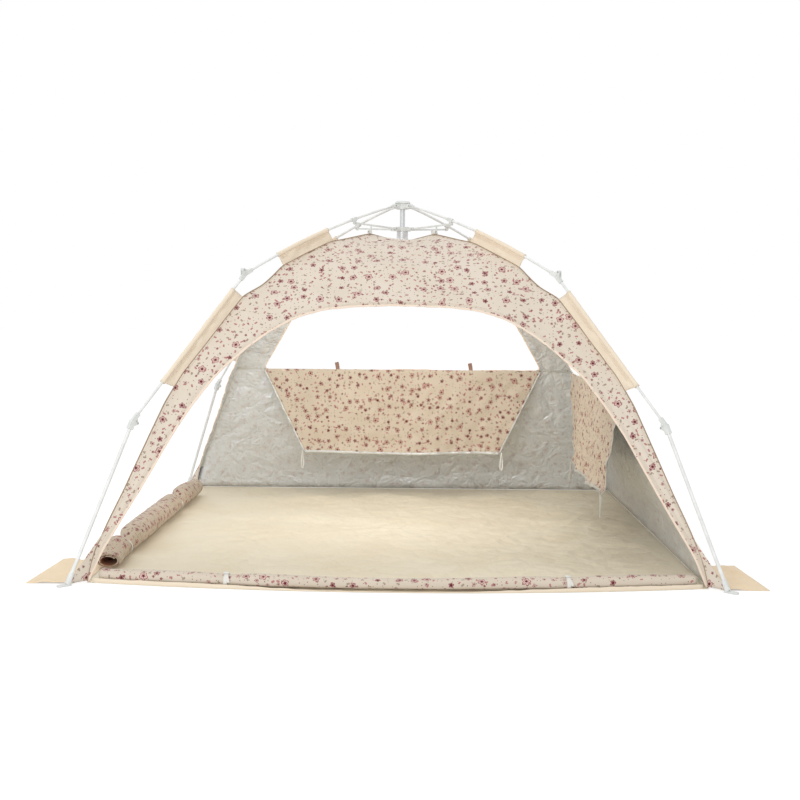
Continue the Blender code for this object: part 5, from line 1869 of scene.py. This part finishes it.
@dataclass
class RolledDoor:
    """A door panel rolled up in several turns and held by ties."""

    name: str
    node: str
    finishes: Finishes
    cloth: bpy.types.Material
    path: np.ndarray
    fullness: np.ndarray
    half_width: float
    half_height: float
    hollow: float
    turns: float
    ties: tuple[float, ...]
    pinch: float
    seed: int
    tie_reach: float = 0.06
    lift: float = 0.0039
    square: float = 1.0
    mouth: float = 0.0

    def girth(self, along: np.ndarray) -> np.ndarray:
        """The share of the full girth that is kept at each place along the roll.

        Args:
            along: Distances along the roll.

        Returns:
            One share for each place.
        """
        keep = np.interp(along, lengths(self.path), self.fullness)
        for tie in self.ties:
            keep -= self.pinch * np.exp(-(((along - tie) / self.tie_reach) ** 2))
        return keep

    def ring_points(self) -> tuple[np.ndarray, np.ndarray, np.ndarray]:
        """The rolled cloth's sections.

        Returns:
            The sections' points, the section's length on the map, and the finish of each column.
        """
        along = lengths(self.path)
        steps = int(26 * self.turns)
        angle = np.linspace(0.0, math.tau * self.turns, steps) + 0.6
        share = np.linspace(self.hollow, 1.0, steps)
        wall = 0.62 * (1 - self.hollow) / self.turns
        outer, inner = share, share - wall
        spiral = np.concatenate((np.stack((outer * np.cos(angle), outer * np.sin(angle)), axis=1),
                                 np.stack((inner * np.cos(angle), inner * np.sin(angle)), axis=1)[::-1]))
        ahead = directions(self.path)
        side = unit(np.cross(ahead, UP))
        keep = self.girth(along)
        turns = np.concatenate((angle, angle[::-1]))
        gather = np.zeros((len(along), len(turns)))
        for tie in self.ties:
            near = np.exp(-(((along - tie) / (self.tie_reach * 0.8)) ** 2))[:, None]
            gather += near * (0.05 * np.sin(turns * 7 + 1.3) + 0.035 * np.sin(turns * 11 + self.seed))[None]
        a, t = np.meshgrid(along, turns, indexing="ij")
        uneven = 0.022 * Ripples(0.10, 0.5, self.seed).at(a, 0.05 * t) + gather
        uneven += 0.02 * Ripples(0.03, 0.12, self.seed + 1).creased(a * 0.45, 0.04 * t)
        scale = keep[:, None] * (1 + uneven)
        level = self.mouth * (1 - ease(along, 0.0, 0.13))[:, None]
        squared = np.sign(spiral) * np.abs(spiral) ** self.square
        x = squared[None, :, 0] * self.half_width * scale * (1 + 0.3 * level)
        z = squared[None, :, 1] * self.half_height * scale * (1 - level) - level * self.half_height
        floor = self.lift - self.path[:, 2:3]
        z = z - (1 - keep[:, None]) * self.half_height
        low = floor + 0.0002
        z = np.where(z < low + 0.006, low + 0.006 * np.exp(np.clip((z - low - 0.006) / 0.006, -30, 0)), z)
        x = np.clip(x, -1.10 * self.half_width, 1.10 * self.half_width)
        rings = self.path[:, None] + side[:, None] * x[..., None] + UP * z[..., None]
        around = lengths(spiral[:steps] * self.half_width)
        columns = np.concatenate((around, around[::-1], around[:1]))
        slots = np.array([0] * steps + [1] * steps)
        slots[steps - 1] = 0
        return rings, columns, slots

    def build(self) -> None:
        """Builds the roll and its ties."""
        rings, around, slots = self.ring_points()
        # The spiral's inner side takes the painted hollow shade.
        roll = loft(self.name, rings, [self.cloth, self.finishes.hollow_shade],
                    along=lengths(self.path), around=around, column_materials=slots)
        on_shelter(roll, Slot.ROLL, self.node, soft=False)
        along = lengths(self.path)
        for number, tie in enumerate(self.ties):
            centre = np.array([np.interp(tie, along, self.path[:, k]) for k in range(3)])
            row = int(np.argmin(np.abs(along - tie)))
            ahead = directions(self.path)[row]
            side = unit(np.cross(ahead, UP))
            keep = float(self.girth(np.array([tie]))[0])
            turns = np.linspace(0.0, math.tau, 49)[:-1]
            wide, high = (r * keep * 1.07 + 0.0006 for r in (self.half_width, self.half_height))
            z = np.sin(turns) * high - (1 - keep) * self.half_height
            z = np.maximum(z, self.lift - centre[2] - 0.0006)
            ring = centre + np.cos(turns)[:, None] * wide * side + z[:, None] * UP
            band = strip(f"{self.name}_tie_{number + 1}", ring, np.broadcast_to(ahead, ring.shape), 0.013,
                         0.0018, self.finishes.tape, cyclic=True)
            on_shelter(band, Slot.HEM, soft=False)
            top = centre + UP * (high - (1 - keep) * self.half_height + 0.0012)
            self.toggle(number + 1, top, ahead, side, high)

    def toggle(self, number: int, top: np.ndarray, ahead: np.ndarray, side: np.ndarray, high: float) -> None:
        """The small toggle and the tape end that hang over the front of a tie.

        Args:
            number: The tie's number.
            top: The tie's highest point.
            ahead: The direction along the roll.
            side: The direction across it, towards its front.
            high: The roll's half height at the tie.
        """
        out = side if side @ self.front() > 0 else -side
        fall = np.linspace(0.0, 1.0, 14)[:, None]
        reach = self.half_width * 0.98
        line = top + out * np.sin(fall * 1.5) * reach - UP * (1 - np.cos(fall * 1.75)) * high
        line = line + ahead * 0.012 * fall
        end = strip(f"{self.name}_tie_end_{number}", line, np.broadcast_to(ahead, line.shape), 0.009, 0.0016,
                    self.finishes.tape)
        on_shelter(end, Slot.HEM, soft=False)
        middle = top + out * 0.006 + UP * 0.0035
        spine = middle + ahead * np.linspace(-0.011, 0.011, 13)[:, None]
        radii = 0.0034 * np.sqrt(np.clip(1 - np.linspace(-1, 1, 13) ** 2 * 0.92, 0.02, 1))
        barrel = tube(f"{self.name}_toggle_{number}", spine, radii, self.finishes.plastic, 14)
        on_shelter(barrel, Slot.HEM, soft=False)

    def front(self) -> np.ndarray:
        """The direction from the tent's middle out through this roll."""
        return unit(self.path.mean(axis=0) * (1, 1, 0))


def front_roll(finishes: Finishes) -> RolledDoor:
    """The front door, rolled flat along the bowed sill.

    Args:
        finishes: The tent's materials.

    Returns:
        The roll.
    """
    end, inset, height, tie = 1.015, 0.0315, 0.0263, 0.575
    x = np.linspace(-end, end, 150)
    y = -(FLOOR_HALF + FLOOR_SEAM) + inset - FRONT_BOW * (1 - (x / FLOOR_HALF) ** 2)
    path = np.stack((x, y, np.full(150, height)), axis=1)
    half = lengths(path)[-1] / 2
    fullness = 0.88 + 0.14 * ease(np.abs(x), 0.1, 0.5) - 0.10 * ease(np.abs(x), 0.75, 1.0)
    return RolledDoor(
        "front_door_rolled", "front_door_roll", finishes, finishes.shaded_roll_print, path, fullness,
        half_width=0.029, half_height=0.0222, hollow=0.3, turns=2.6, ties=(half - tie, half + tie),
        pinch=0.15, seed=61, square=0.72,
    )


def left_roll(finishes: Finishes) -> RolledDoor:
    """The side door, rolled on the floor along the left wall.

    Args:
        finishes: The tent's materials.

    Returns:
        The roll.
    """
    front, rear, height = -0.87, 0.77, 0.0538
    front_reach, rear_reach = 1.035, 1.015
    y = np.linspace(front, rear, 150)
    x = -rear_reach - (front_reach - rear_reach) / (rear - front) * (rear - y)
    path = np.stack((x, y, np.full(150, height)), axis=1)
    fullness = 1.0 - 0.08 * (1 - ease(y, front, -0.70)) - 0.16 * ease(y, 0.45, rear)
    return RolledDoor(
        "left_door_rolled", "left_door_roll", finishes, finishes.shaded_side_roll_print, path, fullness,
        half_width=0.049, half_height=0.0492, hollow=0.60, turns=2.3, ties=(0.24, 1.19),
        pinch=0.44, seed=83, mouth=0.36,
    )


# Window flaps


@dataclass
class WindowFlap:
    """The flap unzipped from a window, which hangs inside it from a hem."""

    side: Facing
    finishes: Finishes
    plane: float = 0.80916
    top: float = 0.63
    bottom: float = 0.22
    top_half: float = 0.68
    bottom_half: float = 0.48
    ripple: float = 0.009
    soft_fold: float = 0.0032
    sharp_fold: float = 0.003
    tape_drop: float = 0.043
    tab_places: tuple[float, float] = (0.318, -0.336)
    seed: int = 5

    def spot(self, across: np.ndarray, down: np.ndarray, lift: float = 0.0) -> np.ndarray:
        """A place on the hanging cloth.

        Args:
            across: From -1 at the left edge to 1 at the right.
            down: From 0 at the hem to 1 at the lower edge.
            lift: How far it stands from the cloth towards the tent's middle.

        Returns:
            Rows of x, y and z.
        """
        across, down = np.broadcast_arrays(np.asarray(across, float), np.asarray(down, float))
        half = self.top_half + (self.bottom_half - self.top_half) * down
        wave = self.ripple * down * np.sin(across * 2.5 * math.pi + 0.6)
        side, fall = across * half, down * (self.top - self.bottom)
        soft = Ripples(0.05, 0.16, self.seed).at(side, fall)
        sharp = Ripples(0.08, 0.2, self.seed + 1).creased(side, fall)
        wave = wave + self.soft_fold * ease(down, 0.0, 0.15) * soft
        wave = wave + self.sharp_fold * ease(down, 0.02, 0.2) * sharp
        curl = -0.006 * ease(down, 0.93, 1.0)
        out = self.plane - self.ripple * down * 1.15 - 0.002 * down + wave + curl - lift
        height = self.top - (self.top - self.bottom) * down - 0.004 * down * np.cos(across * 4.0)
        height = np.minimum(height, self.top - 0.0004)
        ahead, right = self.side.axes()
        return out[..., None] * ahead + (across * half)[..., None] * right + height[..., None] * UP

    def build(self) -> None:
        """Builds the flap with its edges, tapes and hem."""
        name = self.side.name.lower()
        ahead, right = self.side.axes()
        across, down = np.meshgrid(np.linspace(-1, 1, 90), np.linspace(0, 1, 40))
        grid = self.spot(across, down)
        half = self.top_half + (self.bottom_half - self.top_half) * down
        flat = np.stack((across * half, (self.top - self.bottom) * (1 - down)), axis=2)
        facing = np.broadcast_to(-ahead, grid.shape)
        cloth = leaf(f"{name}_flap_cloth", grid, facing, 0.0012,
                     [self.finishes.shaded_flap_print, self.finishes.silver, self.finishes.silver_edge], flat)
        body = f"{name}_flap"
        pieces = [cloth]
        low = self.spot(np.linspace(-1, 1, 120), np.full(120, 1.0), 0.001)
        pieces.append(strip(f"{name}_flap_curled_edge", low, np.broadcast_to(UP, low.shape), 0.013, 0.005,
                            self.finishes.silver_edge))
        for sign in (-1, 1):
            edge = self.spot(np.full(60, float(sign)), np.linspace(0.01, 1.0, 60), 0.0004)
            word = "right" if sign > 0 else "left"
            pieces.append(strip(f"{name}_flap_edge_{word}", edge, np.broadcast_to(right, edge.shape), 0.007,
                                0.0026, self.finishes.silver_edge))
            pieces.append(self.tape(name, word, sign))
        for piece in pieces:
            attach(piece, body)
            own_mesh(piece)
        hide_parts(body)
        LOG.info("%s flap rides %s", name, body)
        self.hem(name, ahead, right)

    def tape(self, name: str, word: str, sign: int) -> bpy.types.Object:
        """The loop of white tape at a lower corner.

        Args:
            name: The side's name.
            word: The corner's name, left or right.
            sign: 1 for right and -1 for left.

        Returns:
            The tape.
        """
        corner = self.spot(np.array(float(sign)), np.array(0.99))
        ahead, right = self.side.axes()
        turn = np.linspace(0.0, math.tau, 33)[:-1]
        line = corner - UP * (self.tape_drop * (1 - np.cos(turn)))[:, None]
        line = line + right * (sign * 0.008 + 0.009 * np.sin(turn) * (1 - np.cos(turn)) / 2)[:, None]
        line = line - ahead * (0.003 + 0.002 * np.sin(turn * 2))[:, None]
        return strip(f"{name}_flap_tape_{word}", line, np.broadcast_to(ahead + right, line.shape), 0.0085,
                     0.0014, self.finishes.tape, cyclic=True, sides=8)

    def hem(self, name: str, ahead: np.ndarray, right: np.ndarray) -> None:
        """The stiffened hem under the window, and the two brown tabs that hold the rolled flap.

        Args:
            name: The side's name.
            ahead: The outward direction.
            right: The direction along the wall.
        """
        x = np.linspace(-self.top_half + 0.001, self.top_half - 0.001, 90)
        middle = 0.81071 + 0.002
        spine = middle * ahead + x[:, None] * right + (self.top - 0.008) * UP
        hem = strip(f"{name}_window_hem_band", spine, np.broadcast_to(UP, spine.shape), 0.0155, 0.0036,
                    self.finishes.peach, sides=14)
        on_body(hem, Slot.HEM, f"{name}_hem", f"{name}_window_hem")
        for number, place in enumerate(self.tab_places, 1):
            rise = np.linspace(0.0, 1.0, 10)[:, None]
            line = (middle - 0.0005) * ahead + (place * right) + (self.top - 0.006) * UP
            line = line + UP * 0.040 * rise + right * 0.006 * rise ** 2 + ahead * 0.004 * np.sin(rise * 3)
            tab = strip(f"{name}_window_tab_{number}", line, np.broadcast_to(right, line.shape), 0.020,
                        0.003, self.finishes.tab)
            on_body(tab, Slot.HEM, f"{name}_hem")


# Studio


@dataclass
class Studio:
    """The camera of the photograph, a plain pale floor, and soft light."""

    eye: tuple[float, float, float] = (0.037, -5.106, 0.968)
    yaw: float = 0.46
    pitch: float = -4.71
    roll: float = -0.49
    lens: float = 54.25

    def camera(self) -> None:
        """Sets the camera."""
        data = bpy.data.cameras.new("Camera")
        data.lens = self.lens
        data.sensor_width = 36.0
        data.clip_end = 100.0
        obj = bpy.data.objects.new("Camera", data)
        yaw, pitch, roll = (math.radians(a) for a in (self.yaw, self.pitch, self.roll))
        turn = (Matrix.Rotation(yaw, 4, "Z") @ Matrix.Rotation(pitch, 4, "X")
                @ Matrix.Rotation(roll, 4, "Y"))
        obj.matrix_world = Matrix.Translation(self.eye) @ turn @ Matrix.Rotation(math.radians(90), 4, "X")
        bpy.context.scene.collection.objects.link(obj)
        bpy.context.scene.camera = obj

    def seen_directly(self, tree: bpy.types.NodeTree) -> Socket:
        """1 for a ray from the camera, or through glass or off gloss, and 0 for other light.

        Args:
            tree: The node tree that asks.

        Returns:
            The socket with the share.
        """
        path = tree.nodes.new("ShaderNodeLightPath")
        result = path.outputs["Is Camera Ray"]
        for name in ("Is Glossy Ray", "Is Transmission Ray"):
            either = tree.nodes.new("ShaderNodeMath")
            either.operation = "MAXIMUM"
            tree.links.new(result, either.inputs[0])
            tree.links.new(path.outputs[name], either.inputs[1])
            result = either.outputs[0]
        return result

    def ground(self) -> None:
        """The pale floor, which keeps the tent's shadow."""
        mesh = bpy.data.meshes.new("studio_floor")
        mesh.from_pydata([(-30, -30, -0.0006), (30, -30, -0.0006), (30, 30, -0.0006), (-30, 30, -0.0006)], [],
                         [(0, 1, 2, 3)])
        obj = bpy.data.objects.new("studio_floor", mesh)
        bpy.context.scene.collection.objects.link(obj)
        material = bpy.data.materials.new("studio floor")
        material.use_nodes = True
        tree = material.node_tree
        tree.nodes.clear()
        out = tree.nodes.new("ShaderNodeOutputMaterial")
        diffuse = tree.nodes.new("ShaderNodeBsdfDiffuse")
        diffuse.inputs["Color"].default_value = (0.82, 0.82, 0.82, 1)
        glow = tree.nodes.new("ShaderNodeEmission")
        glow.inputs["Color"].default_value = (1, 1, 1, 1)
        share = tree.nodes.new("ShaderNodeMath")
        share.operation = "MULTIPLY"
        share.inputs[1].default_value = 0.37
        tree.links.new(self.seen_directly(tree), share.inputs[0])
        tree.links.new(share.outputs[0], glow.inputs["Strength"])
        both = tree.nodes.new("ShaderNodeAddShader")
        tree.links.new(diffuse.outputs[0], both.inputs[0])
        tree.links.new(glow.outputs[0], both.inputs[1])
        tree.links.new(both.outputs[0], out.inputs["Surface"])
        mesh.materials.append(material)

    def world(self) -> None:
        """White behind the tent, and an even soft light from all round."""
        world = bpy.data.worlds.new("Studio")
        bpy.context.scene.world = world
        world.use_nodes = True
        tree = world.node_tree
        tree.nodes.clear()
        out = tree.nodes.new("ShaderNodeOutputWorld")
        soft, white = tree.nodes.new("ShaderNodeBackground"), tree.nodes.new("ShaderNodeBackground")
        soft.inputs["Color"].default_value = (1.0, 1.0, 1.0, 1)
        soft.inputs["Strength"].default_value = 0.8
        white.inputs["Color"].default_value = (1, 1, 1, 1)
        white.inputs["Strength"].default_value = 1.0
        mix = tree.nodes.new("ShaderNodeMixShader")
        tree.links.new(self.seen_directly(tree), mix.inputs[0])
        tree.links.new(soft.outputs[0], mix.inputs[1])
        tree.links.new(white.outputs[0], mix.inputs[2])
        tree.links.new(mix.outputs[0], out.inputs["Surface"])

    def lamp(self, name: str, place: tuple[float, float, float], size: tuple[float, float], power: float,
             target: tuple[float, float, float] = (0.0, 0.0, 0.5)) -> None:
        """One soft rectangular lamp.

        Args:
            name: Its name.
            place: Where it hangs.
            size: Its width and its height.
            power: Its power in watts.
            target: The point that it looks at.
        """
        data = bpy.data.lights.new(name, "AREA")
        data.shape = "RECTANGLE"
        data.size, data.size_y = size
        data.energy = power
        obj = bpy.data.objects.new(name, data)
        way = Matrix.Translation(target).to_translation() - Matrix.Translation(place).to_translation()
        obj.matrix_world = Matrix.Translation(place) @ way.to_track_quat("-Z", "Y").to_matrix().to_4x4()
        obj.visible_camera = False
        bpy.context.scene.collection.objects.link(obj)

    def build(self) -> None:
        """Sets up the studio."""
        self.camera()
        self.ground()
        self.world()
        self.lamp("Front softbox", (-1.7, -5.6, 1.9), (3.4, 3.4), 74.0)
        self.lamp("Top softbox", (-0.8, 0.2, 5.2), (3.0, 3.0), 26.0)
        self.lamp("Roof fill", (0.0, 0.12, 0.90), (1.0, 1.0), 2.6, (0.0, 0.12, 0.0))
        self.lamp("Wall fill", (-0.10, -0.46, 0.88), (0.6, 0.12), 3.6, (-0.30, 0.95, 0.36))
        bpy.context.scene.view_settings.view_transform = "Standard"


def main() -> None:
    """Builds the studio, then the tent from the ground up."""
    logging.basicConfig(level=logging.INFO, format="%(message)s")
    Studio().build()
    finishes = Finishes()
    canopy = Canopy(finishes)
    canopy.build()
    Floor(finishes).build()
    for roll in (front_roll(finishes), left_roll(finishes)):
        roll.build()
    for facing, seed in ((Facing.REAR, 15), (Facing.RIGHT, 29)):
        WindowFlap(facing, finishes, seed=seed).build()
    FoldingFrame(finishes, canopy).build()


if __name__ == "__main__":
    main()
